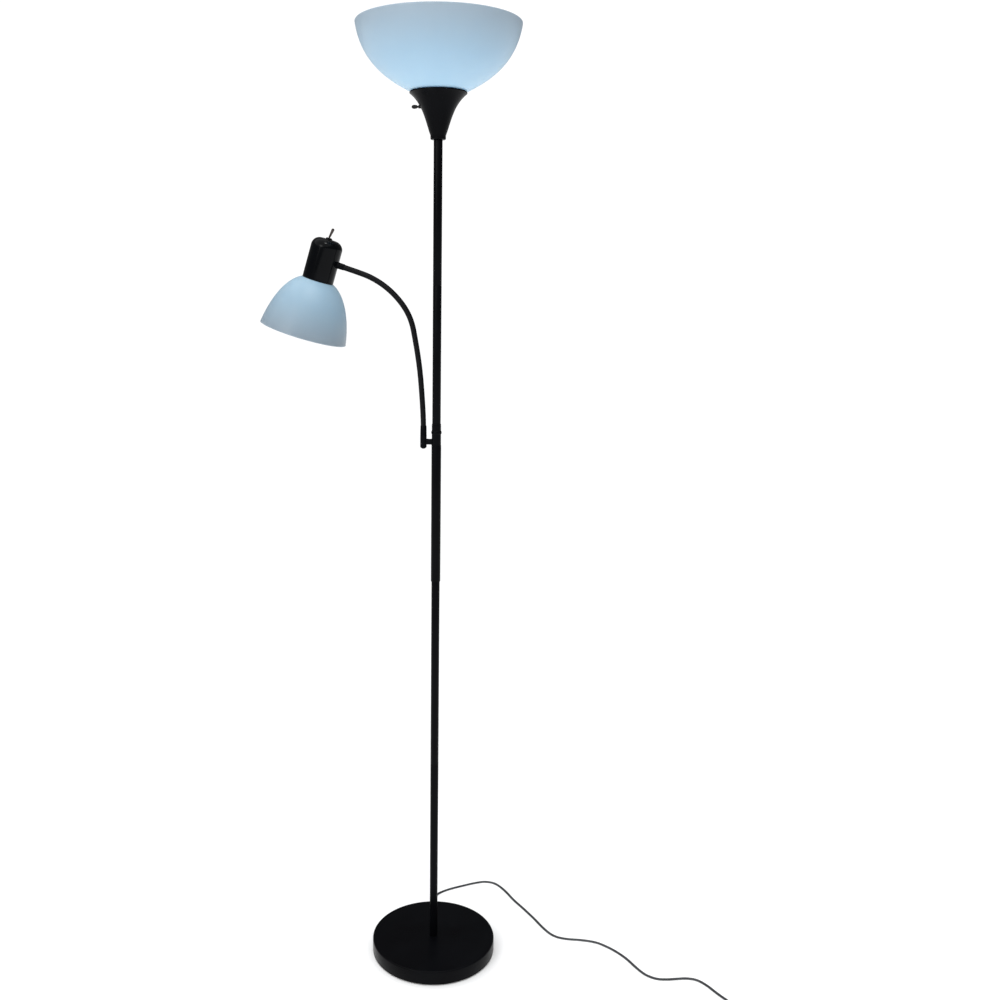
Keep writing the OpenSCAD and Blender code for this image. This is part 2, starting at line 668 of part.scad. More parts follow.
base_pad();
base_weight();
base_cover();
base_nipple();
base_washer();
base_nut();
strain_relief();
base_lead();
pole_tube_1();
pole_tube_2();
pole_tube_3();
pole_tube_4();
pole_tube_5();
pole_nipples();
pole_wire();
arm_coupling();
arm_stub();
arm_elbow();
elbow_cap();
swivel_nut();
arm_ferrule();
neck_link_1();
neck_link_2();
neck_link_3();
neck_link_4();
neck_link_5();
neck_link_6();
neck_link_7();
neck_link_8();
head_ferrule();
head_locknut();
head_housing();
head_holder();
head_shell();
head_contact();
head_bulb_cap();
head_bulb_glass();
head_shade();
head_shade_ring();
head_switch();
head_switch_nut();
head_switch_key();
cup();
cup_nipple();
cup_locknut();
bowl_seat();
bowl_holder();
bowl_shell();
bowl_contact();
bowl_bulb_cap();
bowl_bulb_glass();
bowl_shade();
bowl_shade_ring();
bowl_switch();
bowl_switch_knob();
cord_tube();
cord_coil();
cord_tie();
cord_plug();
plug_blades();
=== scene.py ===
"""Looks of a torchiere floor lamp with a gooseneck reading light, laid out as an add-on."""
import json
import math

import bmesh
import bpy
from bpy.props import FloatProperty, FloatVectorProperty, IntProperty, PointerProperty
from mathutils import Matrix, Vector


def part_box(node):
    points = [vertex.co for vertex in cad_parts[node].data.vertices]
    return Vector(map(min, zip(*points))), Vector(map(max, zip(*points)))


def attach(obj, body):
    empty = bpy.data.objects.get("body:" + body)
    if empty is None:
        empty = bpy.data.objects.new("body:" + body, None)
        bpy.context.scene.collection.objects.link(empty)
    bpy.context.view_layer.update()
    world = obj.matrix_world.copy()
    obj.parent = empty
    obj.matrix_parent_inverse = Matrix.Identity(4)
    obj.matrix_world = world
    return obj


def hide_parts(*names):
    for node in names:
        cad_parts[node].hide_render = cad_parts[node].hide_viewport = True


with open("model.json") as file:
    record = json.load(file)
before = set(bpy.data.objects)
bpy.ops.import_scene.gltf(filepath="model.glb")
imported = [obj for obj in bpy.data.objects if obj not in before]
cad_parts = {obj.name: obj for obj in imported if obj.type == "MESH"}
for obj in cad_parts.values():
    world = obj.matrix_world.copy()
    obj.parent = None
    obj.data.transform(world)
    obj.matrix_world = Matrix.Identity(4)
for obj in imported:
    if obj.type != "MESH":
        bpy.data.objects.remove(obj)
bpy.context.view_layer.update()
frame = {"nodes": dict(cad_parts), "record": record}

bl_info = {
    "name": "Torchiere Lamp",
    "version": (1, 0, 0),
    "blender": (4, 5, 0),
    "location": "View3D > Sidebar > Lamp",
    "description": "Builds the looks of a torchiere floor lamp around its packed frame",
    "category": "Add Mesh",
}

MM = 0.001


def low_high(node):
    """Lowest and highest corner of a frame node, in millimetres."""
    return [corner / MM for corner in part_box(node)]


def srgb(code):
    """Linear colour of an sRGB hex value, with an alpha of one."""
    parts = [int(code[i:i + 2], 16) / 255 for i in (1, 3, 5)]
    return tuple(p / 12.92 if p <= 0.04045 else ((p + 0.055) / 1.055) ** 2.4 for p in parts) + (1.0,)


# ---------------------------------------------------------------- sizes and colours a user may change

def colour(name, description, code):
    return FloatVectorProperty(name=name, description=description, default=srgb(code), size=4,
                               subtype="COLOR", min=0.0, max=1.0)


def length(name, description, value):
    return FloatProperty(name=name, description=description, default=value * MM, min=0.0,
                         precision=5, unit="LENGTH")


class LampColours(bpy.types.PropertyGroup):
    enamel: colour("Enamel", "Stoved enamel on the pole, cup and base", "#050507")
    plastic: colour("Housing", "Polished plastic of the reading light's housing", "#040507")
    cord: colour("Cord", "Vinyl of the mains cord and its plug", "#3c3e41")
    key: colour("Switch key", "Dark nickel of the turn key", "#4a4340")
    # The three shade tints make a painted gradient: the seat tint is painted light where light gathers by
    # the holder, the rim tint painted shade at the open edge.
    shade_seat_painted_light: colour("Shade by its seat", "Milky plastic next to the lamp holder", "#b2d2e6")
    shade_wall: colour("Shade wall", "Milky plastic halfway up the wall", "#a3c0d3")
    shade_rim_painted_shade: colour("Shade rim", "Milky plastic at the open edge", "#99a8b4")


class LampSizes(bpy.types.PropertyGroup):
    wind_pitch: length("Winding pitch", "Width of one turn of the gooseneck's strip", 2.4)
    wind_depth: FloatProperty(name="Winding depth", default=0.055, min=0.0, max=0.3, subtype="FACTOR",
                              description="Depth of the groove between turns, as a share of the radius")
    cord_width: length("Cord width", "Width across both cores of the flat cord", 5.4)
    cord_thickness: length("Cord thickness", "Thickness of one core of the flat cord", 2.7)
    cord_length: length("Cord length", "Whole length of the mains cord", 1793)
    ring_ribs: IntProperty(name="Ring ribs", default=30, min=6, max=60,
                           description="Finger ribs round each shade ring")


class LampStage(bpy.types.PropertyGroup):
    lens: FloatProperty(name="Lens", default=38.68 * MM, unit="CAMERA", min=10 * MM,
                        description="Focal length of the camera")
    floor: colour("Floor", "Plain studio floor", "#fdfdfe")
    sun: FloatProperty(name="Top light", default=1.85, min=0.0, description="Strength of the soft top light")
    sky: FloatProperty(name="Fill", default=0.55, min=0.0, description="Strength of the fill from all round")


# ---------------------------------------------------------------- nodes and finishes

def add(tree, kind, inputs=None, **settings):
    """Adds one node: settings go on the node, and each input is a value or a socket to link."""
    node = tree.nodes.new(kind)
    for name, value in settings.items():
        setattr(node, name, value)
    for name, value in (inputs or {}).items():
        if isinstance(value, bpy.types.NodeSocket):
            tree.links.new(value, node.inputs[name])
        else:
            node.inputs[name].default_value = value
    return node


def new_finish(name, constants):
    """A node material, with its constants on the shader's own sockets."""
    material = bpy.data.materials.new(name)
    material.use_nodes = True
    shader = material.node_tree.nodes["Principled BSDF"]
    for socket, value in constants.items():
        shader.inputs[socket].default_value = value
    return material, material.node_tree, shader


def uneven_finish(name, light, dark, patch, grain, depth, rough, stretch=(1, 1, 1), **constants):
    """A finish whose colour and gloss drift over patches, with a fine grain in relief; sizes in mm."""
    material, tree, shader = new_finish(name, constants)
    where = add(tree, "ShaderNodeTexCoord").outputs["Object"]
    drift = add(tree, "ShaderNodeTexNoise", {"Vector": where, "Scale": 1 / (patch * MM), "Detail": 3.0})
    spread = add(tree, "ShaderNodeMapRange",
                 {"Value": drift.outputs["Fac"], "From Min": 0.3, "From Max": 0.7})
    tint = add(tree, "ShaderNodeMix", {0: spread.outputs[0], 6: light, 7: dark}, data_type="RGBA")
    gloss = add(tree, "ShaderNodeMapRange", {"Value": drift.outputs["Fac"], "From Min": 0.3,
                                             "From Max": 0.7, "To Min": rough[0], "To Max": rough[1]})
    drawn = add(tree, "ShaderNodeMapping", {"Vector": where, "Scale": stretch})
    texture = add(tree, "ShaderNodeTexNoise",
                  {"Vector": drawn.outputs[0], "Scale": 1 / (grain * MM), "Detail": 2.0})
    relief = add(tree, "ShaderNodeBump",
                 {"Height": texture.outputs["Fac"], "Distance": depth * MM, "Strength": 1.0})
    tree.links.new(tint.outputs[2], shader.inputs["Base Color"])
    tree.links.new(gloss.outputs[0], shader.inputs["Roughness"])
    tree.links.new(relief.outputs[0], shader.inputs["Normal"])
    return material


def milky_finish(name, colours, foot, turn, seat, rim, painted_dimming=1.0):
    """Blow-moulded milky plastic whose tint runs along the shade's own axis from its seat to its rim:
    painted light, lighter by the holder where light gathers and greyer towards the rim.
    The last argument, below one, darkens the whole shade: painted shade for a shade that stands in stronger
    light."""
    material, tree, shader = new_finish(name, {
        "Subsurface Weight": 0.55, "Subsurface Scale": 0.004, "Subsurface Radius": (0.9, 1.0, 1.1),
        "IOR": 1.49, "Specular IOR Level": 0.35})
    where = add(tree, "ShaderNodeTexCoord").outputs["Object"]
    own = add(tree, "ShaderNodeMapping", {"Vector": where, "Location": foot, "Rotation": turn},
              vector_type="TEXTURE")
    height = add(tree, "ShaderNodeSeparateXYZ", {0: own.outputs[0]})
    cloud = add(tree, "ShaderNodeTexNoise", {"Vector": where, "Scale": 1 / (45 * MM), "Detail": 2.0})
    sway = add(tree, "ShaderNodeMapRange",
               {"Value": cloud.outputs["Fac"], "To Min": -3 * MM, "To Max": 3 * MM})
    level = add(tree, "ShaderNodeMath", {0: height.outputs["Z"], 1: sway.outputs[0]}, operation="ADD")
    share = add(tree, "ShaderNodeMapRange",
                {"Value": level.outputs[0], "From Min": seat * MM, "From Max": rim * MM})
    # The ramp paints light and shade: lightest by the seat, greyer towards the rim.
    ramp = add(tree, "ShaderNodeValToRGB", {0: share.outputs[0]})
    stops = ramp.color_ramp.elements
    stops.new(0.42)
    for stop, tint in zip(stops, (colours.shade_seat_painted_light, colours.shade_wall, colours.shade_rim_painted_shade)):
        # Scaling every stop down darkens the whole shade: painted shade.
        stop.color = [painted_dimming * part for part in tint[:3]] + [1.0]
    grit = add(tree, "ShaderNodeTexNoise", {"Vector": where, "Scale": 1 / (1.2 * MM), "Detail": 1.0})
    gloss = add(tree, "ShaderNodeMapRange",
                {"Value": cloud.outputs["Fac"], "To Min": 0.34, "To Max": 0.46})
    relief = add(tree, "ShaderNodeBump",
                 {"Height": grit.outputs["Fac"], "Distance": 0.012 * MM, "Strength": 1.0})
    tree.links.new(ramp.outputs[0], shader.inputs["Base Color"])
    tree.links.new(gloss.outputs[0], shader.inputs["Roughness"])
    tree.links.new(relief.outputs[0], shader.inputs["Normal"])
    return material


def make_finishes(colours):
    """Every finish on the lamp, by the name of the material slot that it belongs to."""
    bowl_low, bowl_high = low_high("bowl_shade")
    return {
        # Stoved enamel on steel: near-black, semi-gloss, with a faint orange peel
        "black_enamel": uneven_finish(
            "black_stoved_enamel", colours.enamel, srgb("#08090c"), 70, 1.8, 0.006, (0.26, 0.36),
            **{"Specular IOR Level": 0.05, "IOR": 1.5}),
        # Polished plastic: deeper black and a sharp highlight on the dome
        "black_gloss_plastic": uneven_finish(
            "black_polished_abs", colours.plastic, srgb("#07080b"), 50, 9, 0.01, (0.14, 0.2),
            **{"Specular IOR Level": 0.09, "IOR": 1.54}),
        # Moulded phenolic: matt black-brown with a dusty bloom
        "black_phenolic": uneven_finish(
            "black_moulded_phenolic", srgb("#0c0b0a"), srgb("#15130f"), 14, 0.8, 0.02, (0.42, 0.58),
            **{"IOR": 1.6, "Specular IOR Level": 0.2}),
        # Extruded vinyl: dark grey, softly shiny, slightly rippled along its length
        "black_pvc": uneven_finish(
            "grey_black_extruded_vinyl", colours.cord, srgb("#2a2b2e"), 30, 1.4, 0.03, (0.38, 0.5),
            **{"IOR": 1.53, "Specular IOR Level": 0.4}),
        # Insulated wires inside the tube
        "wire_insulation": uneven_finish(
            "black_wire_insulation", srgb("#17181a"), srgb("#232427"), 12, 1, 0.02, (0.4, 0.5),
            **{"IOR": 1.52}),
        # Wound steel strip, blacked: satin on each turn and dull in the grooves
        "gooseneck": uneven_finish(
            "blacked_wound_steel_strip", colours.enamel, srgb("#0a0b0e"), 22, 0.7, 0.01, (0.3, 0.44),
            **{"Specular IOR Level": 0.12, "IOR": 1.5}),
        # Zinc-plated steel: bluish, turned marks round the part
        "zinc_steel": uneven_finish(
            "bright_zinc_plated_steel", srgb("#b4b9be"), srgb("#959ba2"), 6, 0.5, 0.02, (0.25, 0.42),
            stretch=(0.2, 0.2, 3), **{"Metallic": 1.0}),
        # Rolled brass of the screw shell and contact
        "brass": uneven_finish(
            "rolled_brass", srgb("#c9a55a"), srgb("#a8843d"), 9, 0.6, 0.01, (0.22, 0.38),
            stretch=(1, 1, 0.3), **{"Metallic": 1.0}),
        # Dark nickel on the key: tumbled, so the high spots shine
        "key_metal": uneven_finish(
            "tumbled_dark_nickel", colours.key, srgb("#2c2827"), 3, 0.5, 0.02, (0.28, 0.5),
            **{"Metallic": 0.85}),
        # Milky plastic: the bowl
        "frosted_shade": milky_finish("milky_polypropylene_bowl", colours, (0, 0, bowl_low.z * MM),
                                      (0, 0, 0), 0, bowl_high.z - bowl_low.z),
        # Milky plastic: the reading shade, turned with the head, and dimmed to 0.72 as painted shade
        "reading_shade": milky_finish("milky_polypropylene_shade", colours,
                                      HEAD_PLACE.translation * MM, (0, HEAD_TILT, 0), 0, -SHADE_LENGTH,
                                      painted_dimming=0.72),
        # Glass frosted on the inside: white, smooth outside
        "frosted_glass": uneven_finish(
            "inside_frosted_glass", srgb("#f1f2f0"), srgb("#e4e7e8"), 25, 0.9, 0.002, (0.16, 0.22),
            **{"IOR": 1.5, "Subsurface Weight": 0.3, "Subsurface Scale": 0.003}),
        # Cast cement weight: pale grey with fine sand
        "cement": uneven_finish(
            "cast_cement", srgb("#aaa79f"), srgb("#86837b"), 9, 0.9, 0.25, (0.85, 0.95),
            **{"Specular IOR Level": 0.3}),
        # Closed-cell foam pad: black and dull
        "foam_pad": uneven_finish(
            "black_foam_sheet", srgb("#161719"), srgb("#222326"), 5, 0.7, 0.12, (0.8, 0.95),
            **{"Specular IOR Level": 0.2}),
    }


FINISHES = {}

# ---------------------------------------------------------------- shapes, in millimetres


def arc(at, radius, start, end, steps):
    """Points of an arc about a point of a profile; angles in degrees from the outward radius."""
    angles = [math.radians(start + (end - start) * i / steps) for i in range(steps + 1)]
    return [(at[0] + radius * math.cos(a), at[1] + radius * math.sin(a)) for a in angles]


def bezier(outline, t):
    """A point of a cubic curve, and the unit direction across it on its left."""
    p = [Vector(point) for point in outline]
    u = 1 - t
    point = u**3 * p[0] + 3 * u * u * t * p[1] + 3 * u * t * t * p[2] + t**3 * p[3]
    slope = u * u * (p[1] - p[0]) + 2 * u * t * (p[2] - p[1]) + t * t * (p[3] - p[2])
    return point, Vector((-slope.y, slope.x)).normalized()


def walled(outline, wall, steps):
    """The outer and inner side of a wall along a cubic curve, with its open edge rounded."""
    outer = [bezier(outline, i / steps) for i in range(steps + 1)]
    end, across = outer[-1]
    middle = end + across * wall / 2
    along = Vector((across.y, -across.x))
    edge = [middle + (math.cos(a) * -across + math.sin(a) * along) * wall / 2
            for a in (math.pi * i / 8 for i in range(1, 8))]
    inner = [point + side * wall for point, side in reversed(outer)]
    return [tuple(p) for p in [point for point, side in outer] + edge + inner]


def turned(profile, place=Matrix(), steps=96):
    """Points and faces of a profile of (radius, height), turned about +Z. Radius 0 closes it at a pole."""
    rows, points = [], []
    for radius, height in profile:
        first = len(points)
        if radius < 1e-6:
            rows.append([first] * steps)
            points.append(Vector((0, 0, height)))
            continue
        rows.append(list(range(first, first + steps)))
        for i in range(steps):
            turn = math.tau * i / steps
            points.append(Vector((radius * math.cos(turn), radius * math.sin(turn), height)))
    if profile[0][0] > 1e-6:
        rows.append(rows[0])
    faces = []
    for near, far in zip(rows, rows[1:]):
        for i in range(steps):
            j = (i + 1) % steps
            corners = list(dict.fromkeys((near[i], near[j], far[j], far[i])))
            if len(corners) > 2:
                faces.append(corners)
    return [place @ point for point in points], faces


def skinned(rings, place=Matrix()):
    """Points and faces of a skin over rings of equal count, closed by a face at each end."""
    count = len(rings[0])
    last = (len(rings) - 1) * count
    faces = [tuple(range(count)), tuple(range(last, last + count))]
    for row in range(0, last, count):
        for i in range(count):
            j = (i + 1) % count
            faces.append((row + i, row + j, row + count + j, row + count + i))
    return [place @ Vector(point) for ring in rings for point in ring], faces


def solid(name, shape, finish, hard=32):
    """A mesh object with its faces outwards, and hard edges kept above an angle in degrees."""
    points, faces = shape
    mesh = bpy.data.meshes.new(name)
    mesh.from_pydata([Vector(point) * MM for point in points], [], faces)
    build = bmesh.new()
    build.from_mesh(mesh)
    bmesh.ops.recalc_face_normals(build, faces=build.faces)
    build.to_mesh(mesh)
    build.free()
    return shown(name, mesh, FINISHES[finish], hard)


def shown(name, mesh, material, hard):
    """Puts a finished mesh in the scene, smooth but for its hard edges."""
    mesh.name = name
    mesh.materials.clear()
    mesh.materials.append(material)
    mesh.shade_smooth()
    mesh.set_sharp_from_angle(angle=math.radians(hard))
    piece = bpy.data.objects.new(name, mesh)
    bpy.context.scene.collection.objects.link(piece)
    return piece


def fitted(piece, body, slot, *nodes):
    """The piece moves with a body and stands for frame nodes, which it hides; the slot is not used."""
    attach(piece, body)
    if nodes:
        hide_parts(*nodes)
    return piece


# ---------------------------------------------------------------- geometry nodes

def node_group(name, inputs):
    """An empty geometry tree with a mesh in and out, and its named inputs."""
    tree = bpy.data.node_groups.new(name, "GeometryNodeTree")
    tree.interface.new_socket(name="Geometry", in_out="INPUT", socket_type="NodeSocketGeometry")
    tree.interface.new_socket(name="Geometry", in_out="OUTPUT", socket_type="NodeSocketGeometry")
    for label, kind in inputs.items():
        tree.interface.new_socket(name=label, in_out="INPUT", socket_type="NodeSocket" + kind)
    return tree, add(tree, "NodeGroupInput").outputs


def finish_tree(tree, geometry, material):
    """Ends a tree in real meshes with their material."""
    real = add(tree, "GeometryNodeRealizeInstances", {"Geometry": geometry})
    painted = add(tree, "GeometryNodeSetMaterial", {"Geometry": real.outputs[0], "Material": material})
    add(tree, "NodeGroupOutput", {"Geometry": painted.outputs[0]})
    return tree


def wound_tube_tree():
    """A tube along a line whose wall is wound or ringed: each turn is a rounded bead."""
    tree, given = node_group("wound_tube", {
        "Radius": "Float", "End Radius": "Float", "Pitch": "Float", "Depth": "Float",
        "Lead": "Float", "Start": "Float", "Sides": "Int", "Material": "Material"})
    line = add(tree, "GeometryNodeMeshToCurve", {"Mesh": given["Geometry"]})
    spacing = add(tree, "ShaderNodeMath", {0: given["Pitch"], 1: 8.0}, operation="DIVIDE")
    even = add(tree, "GeometryNodeResampleCurve",
               {"Curve": line.outputs[0], "Length": spacing.outputs[0]}, mode="LENGTH")
    facing = add(tree, "GeometryNodeSetCurveNormal",
                 {"Curve": even.outputs[0], "Normal": (0.0, 1.0, 0.0)}, mode="FREE")
    along = add(tree, "GeometryNodeSplineParameter").outputs
    radius = add(tree, "ShaderNodeMapRange", {"Value": along["Factor"], "To Min": given["Radius"],
                                              "To Max": given["End Radius"]})
    spot = add(tree, "GeometryNodeInputPosition").outputs[0]
    kept_run = add(tree, "GeometryNodeStoreNamedAttribute", {
        "Geometry": facing.outputs[0], "Name": "run", "Value": along["Length"]},
        data_type="FLOAT", domain="POINT")
    kept_axis = add(tree, "GeometryNodeStoreNamedAttribute", {
        "Geometry": kept_run.outputs[0], "Name": "axis", "Value": spot},
        data_type="FLOAT_VECTOR", domain="POINT")
    circle = add(tree, "GeometryNodeCurvePrimitiveCircle", {"Resolution": given["Sides"], "Radius": 1.0})
    kept_turn = add(tree, "GeometryNodeStoreNamedAttribute", {
        "Geometry": circle.outputs[0], "Name": "turn", "Value": along["Factor"]},
        data_type="FLOAT", domain="POINT")
    tube = add(tree, "GeometryNodeCurveToMesh", {
        "Curve": kept_axis.outputs[0], "Profile Curve": kept_turn.outputs[0],
        "Scale": radius.outputs[0], "Fill Caps": True})
    run = add(tree, "GeometryNodeInputNamedAttribute", {"Name": "run"}, data_type="FLOAT").outputs[0]
    turn = add(tree, "GeometryNodeInputNamedAttribute", {"Name": "turn"}, data_type="FLOAT").outputs[0]
    axis = add(tree, "GeometryNodeInputNamedAttribute", {"Name": "axis"},
               data_type="FLOAT_VECTOR").outputs[0]
    whole = add(tree, "ShaderNodeMath", {0: run, 1: given["Start"]}, operation="ADD")
    turns = add(tree, "ShaderNodeMath", {0: whole.outputs[0], 1: given["Pitch"]}, operation="DIVIDE")
    wound = add(tree, "ShaderNodeMath", {0: turn, 1: given["Lead"], 2: turns.outputs[0]},
                operation="MULTIPLY_ADD")
    phase = add(tree, "ShaderNodeMath", {0: wound.outputs[0], 1: math.pi}, operation="MULTIPLY")
    wave = add(tree, "ShaderNodeMath", {0: phase.outputs[0]}, operation="SINE")
    bead = add(tree, "ShaderNodeMath", {0: wave.outputs[0]}, operation="ABSOLUTE")
    soft = add(tree, "ShaderNodeMath", {0: bead.outputs[0], 1: 0.5}, operation="POWER")
    groove = add(tree, "ShaderNodeMath", {0: 1.0, 1: soft.outputs[0]}, operation="SUBTRACT")
    depth = add(tree, "ShaderNodeMath", {0: groove.outputs[0], 1: given["Depth"]}, operation="MULTIPLY")
    outward = add(tree, "ShaderNodeVectorMath", {0: spot, 1: axis}, operation="SUBTRACT")
    inward = add(tree, "ShaderNodeVectorMath",
                 {0: outward.outputs[0], "Scale": depth.outputs[0]}, operation="SCALE")
    moved = add(tree, "ShaderNodeVectorMath", {0: (0, 0, 0), 1: inward.outputs[0]},
                operation="SUBTRACT")
    beaded = add(tree, "GeometryNodeSetPosition",
                 {"Geometry": tube.outputs[0], "Offset": moved.outputs[0]})
    return finish_tree(tree, beaded.outputs[0], given["Material"])


def ribbed_ring_tree():
    """Upright round ribs spaced evenly round a ring, joined to the ring itself."""
    tree, given = node_group("ribbed_ring", {
        "Count": "Int", "Ring Radius": "Float", "Rib Radius": "Float", "Rib Height": "Float",
        "Level": "Float", "Material": "Material"})
    circle = add(tree, "GeometryNodeCurvePrimitiveCircle",
                 {"Resolution": given["Count"], "Radius": given["Ring Radius"]})
    rib = add(tree, "GeometryNodeMeshCylinder", {
        "Vertices": 10, "Radius": given["Rib Radius"], "Depth": given["Rib Height"]})
    lifted = add(tree, "ShaderNodeCombineXYZ", {"Z": given["Level"]})
    raised = add(tree, "GeometryNodeTransform",
                 {"Geometry": rib.outputs["Mesh"], "Translation": lifted.outputs[0]})
    ribs = add(tree, "GeometryNodeInstanceOnPoints",
               {"Points": circle.outputs[0], "Instance": raised.outputs[0]})
    both = add(tree, "GeometryNodeJoinGeometry")
    tree.links.new(ribs.outputs[0], both.inputs[0])
    tree.links.new(given["Geometry"], both.inputs[0])
    return finish_tree(tree, both.outputs[0], given["Material"])


def grown(name, source, tree, finish, hard=32, place=None, **inputs):
    """Runs a geometry tree on a mesh once, and keeps the result as a plain mesh object."""
    holder = bpy.data.objects.new(name + "_seed", source)
    bpy.context.scene.collection.objects.link(holder)
    modifier = holder.modifiers.new("shape", "NODES")
    modifier.node_group = tree
    sockets = {s.name: s.identifier for s in tree.interface.items_tree
               if s.item_type == "SOCKET" and s.in_out == "INPUT"}
    for label, value in inputs.items():
        modifier[sockets[label.replace("_", " ")]] = value
    modifier[sockets["Material"]] = FINISHES[finish]
    bpy.context.view_layer.update()
    mesh = bpy.data.meshes.new_from_object(holder.evaluated_get(bpy.context.evaluated_depsgraph_get()))
    for label in ("run", "axis", "turn"):
        if label in mesh.attributes:
            mesh.attributes.remove(mesh.attributes[label])
    holder.modifiers.clear()
    bpy.data.objects.remove(holder)
    if place is not None:
        mesh.transform(place)
    return shown(name, mesh, FINISHES[finish], hard)


def line_mesh(points):
    """A mesh of one open line, from points in millimetres."""
    mesh = bpy.data.meshes.new("line")
    mesh.from_pydata([Vector(p) * MM for p in points], [(i, i + 1) for i in range(len(points) - 1)], [])
    return mesh


TREES = {}

# ---------------------------------------------------------------- the frame's own lines, in millimetres

LINK_LENGTH = 49.0
LINK_TURNS = (3.5, 1.5, 4, 2.5, 25, 17.5, 17.5, 1.5)
NECK_FOOT = Vector((-25.0, 0.0, 1076.0))
NECK_RADIUS = 5.25
HOUSING_RADIUS = 29.5
HOUSING_HEIGHT = 78.0
ENTRY_HEIGHT = 38.0
SHADE_LENGTH = 104.0


def neck_at(run):
    """The point of the gooseneck's centreline at a length from its foot."""
    point, heading = NECK_FOOT.copy(), 0.0
    for turn in LINK_TURNS:
        part = min(run, LINK_LENGTH)
        bend = math.radians(turn) * part / LINK_LENGTH
        chord = part * (math.sin(bend / 2) / (bend / 2) if bend > 1e-9 else 1.0)
        point += chord * Vector((-math.sin(heading + bend / 2), 0, math.cos(heading + bend / 2)))
        heading += bend
        run -= part
        if run < 1e-9:
            break
    return point


NECK_END = neck_at(LINK_LENGTH * len(LINK_TURNS))
HEAD_TILT = math.radians(90 - sum(LINK_TURNS))
HEAD_TURN = Matrix.Rotation(HEAD_TILT, 4, "Y")
HEAD_PLACE = Matrix.Translation(NECK_END) @ HEAD_TURN @ Matrix.Translation(
    (-HOUSING_RADIUS, 0, -ENTRY_HEIGHT))

# Mains cord: the tip of the strain relief, then the route over the floor to the coil
EXIT_TURN = math.radians(102)
RELIEF_TIP = Vector((151 * math.cos(EXIT_TURN), 151 * math.sin(EXIT_TURN), 9))
FLOOR_LEVEL = 1.4
ROUTE = [
    (-34, 159, 8.8), (-36, 175, 5.4), (-34, 190, 2.2), (-27, 204), (-14, 218), (2, 231), (22, 245),
    (43, 259), (65, 269), (89, 266), (114, 243), (141, 207), (167, 177), (194, 144), (220, 110),
    (242, 90), (267, 84), (300, 86), (330, 84), (353, 74), (374, 60), (395, 41), (415, 16), (435, -5),
    (457, -14), (478, -12), (498, -6), (518, -1), (537, -3), (555, -16), (574, -37), (593, -56),
    (612, -75), (638, -104, 2.15)]
COIL_CENTRE = Vector((610.2, -129, 0))
# The coil, wound clockwise from above: angle in degrees, distance from the middle and level.
# It runs inwards on the floor, climbs, and runs outwards again on top of its own turns.
COIL_PLAN = [(42, 37.4, 2.15), (-678, 26.6, 2.15), (-758, 25.8, 4.85), (-1530, 37.4, 4.85)]
COIL_STEP = 6
PLUG_TIP = Vector((600, -166.4, 6.3))
PLUG_TURN = Matrix.Rotation(math.radians(-90), 4, "Y")


def ease(t):
    return t * t * (3 - 2 * t)


def cord_centreline():
    """The cord's centreline from the strain relief to inside the plug."""
    knots = [RELIEF_TIP] + [Vector((*p, FLOOR_LEVEL) if len(p) == 2 else p) for p in ROUTE]
    points = []
    for i in range(len(knots) - 1):
        a, b = knots[i], knots[i + 1]
        leave = (b - knots[max(i - 1, 0)]) / 2
        arrive = (knots[min(i + 2, len(knots) - 1)] - a) / 2
        for t in (0, 0.25, 0.5, 0.75):
            points.append((2 * t**3 - 3 * t**2 + 1) * a + (t**3 - 2 * t**2 + t) * leave
                          + (3 * t**2 - 2 * t**3) * b + (t**3 - t**2) * arrive)
    for (start, near, low), (end, far, high) in zip(COIL_PLAN, COIL_PLAN[1:]):
        steps = round((start - end) / COIL_STEP)
        for k in range(steps):
            share = k / steps
            turn = math.radians(start + (end - start) * share)
            radius = near + (far - near) * share
            level = low + (high - low) * ease(share)
            points.append(COIL_CENTRE + Vector((radius * math.cos(turn), radius * math.sin(turn), level)))
    last_radius, last_level = COIL_PLAN[-1][1:]
    south = COIL_CENTRE + Vector((0, -last_radius, last_level))
    into = PLUG_TIP - Vector((8, 0, 0))
    for k in range(6):
        share = k / 5
        point = south.lerp(into, share)
        point.z = south.z + (into.z - south.z) * ease(min(1, share * 1.4))
        points.append(point)
    return points


# ---------------------------------------------------------------- operators

CAMERA_PLACE = (0.40643, -1.97082, 1.35023)
CAMERA_FORWARD = Vector((-0.178309, 0.964497, -0.194809))
CAMERA_ROLL = -0.00997
CAMERA_SHIFT = 0.0423
BACKDROP = 1.05  # how bright the studio's backdrop is where it is seen
SKY_IN_GLOSS = 0.3  # share of the fill that a glossy surface mirrors
FLOOR_REACH = 60


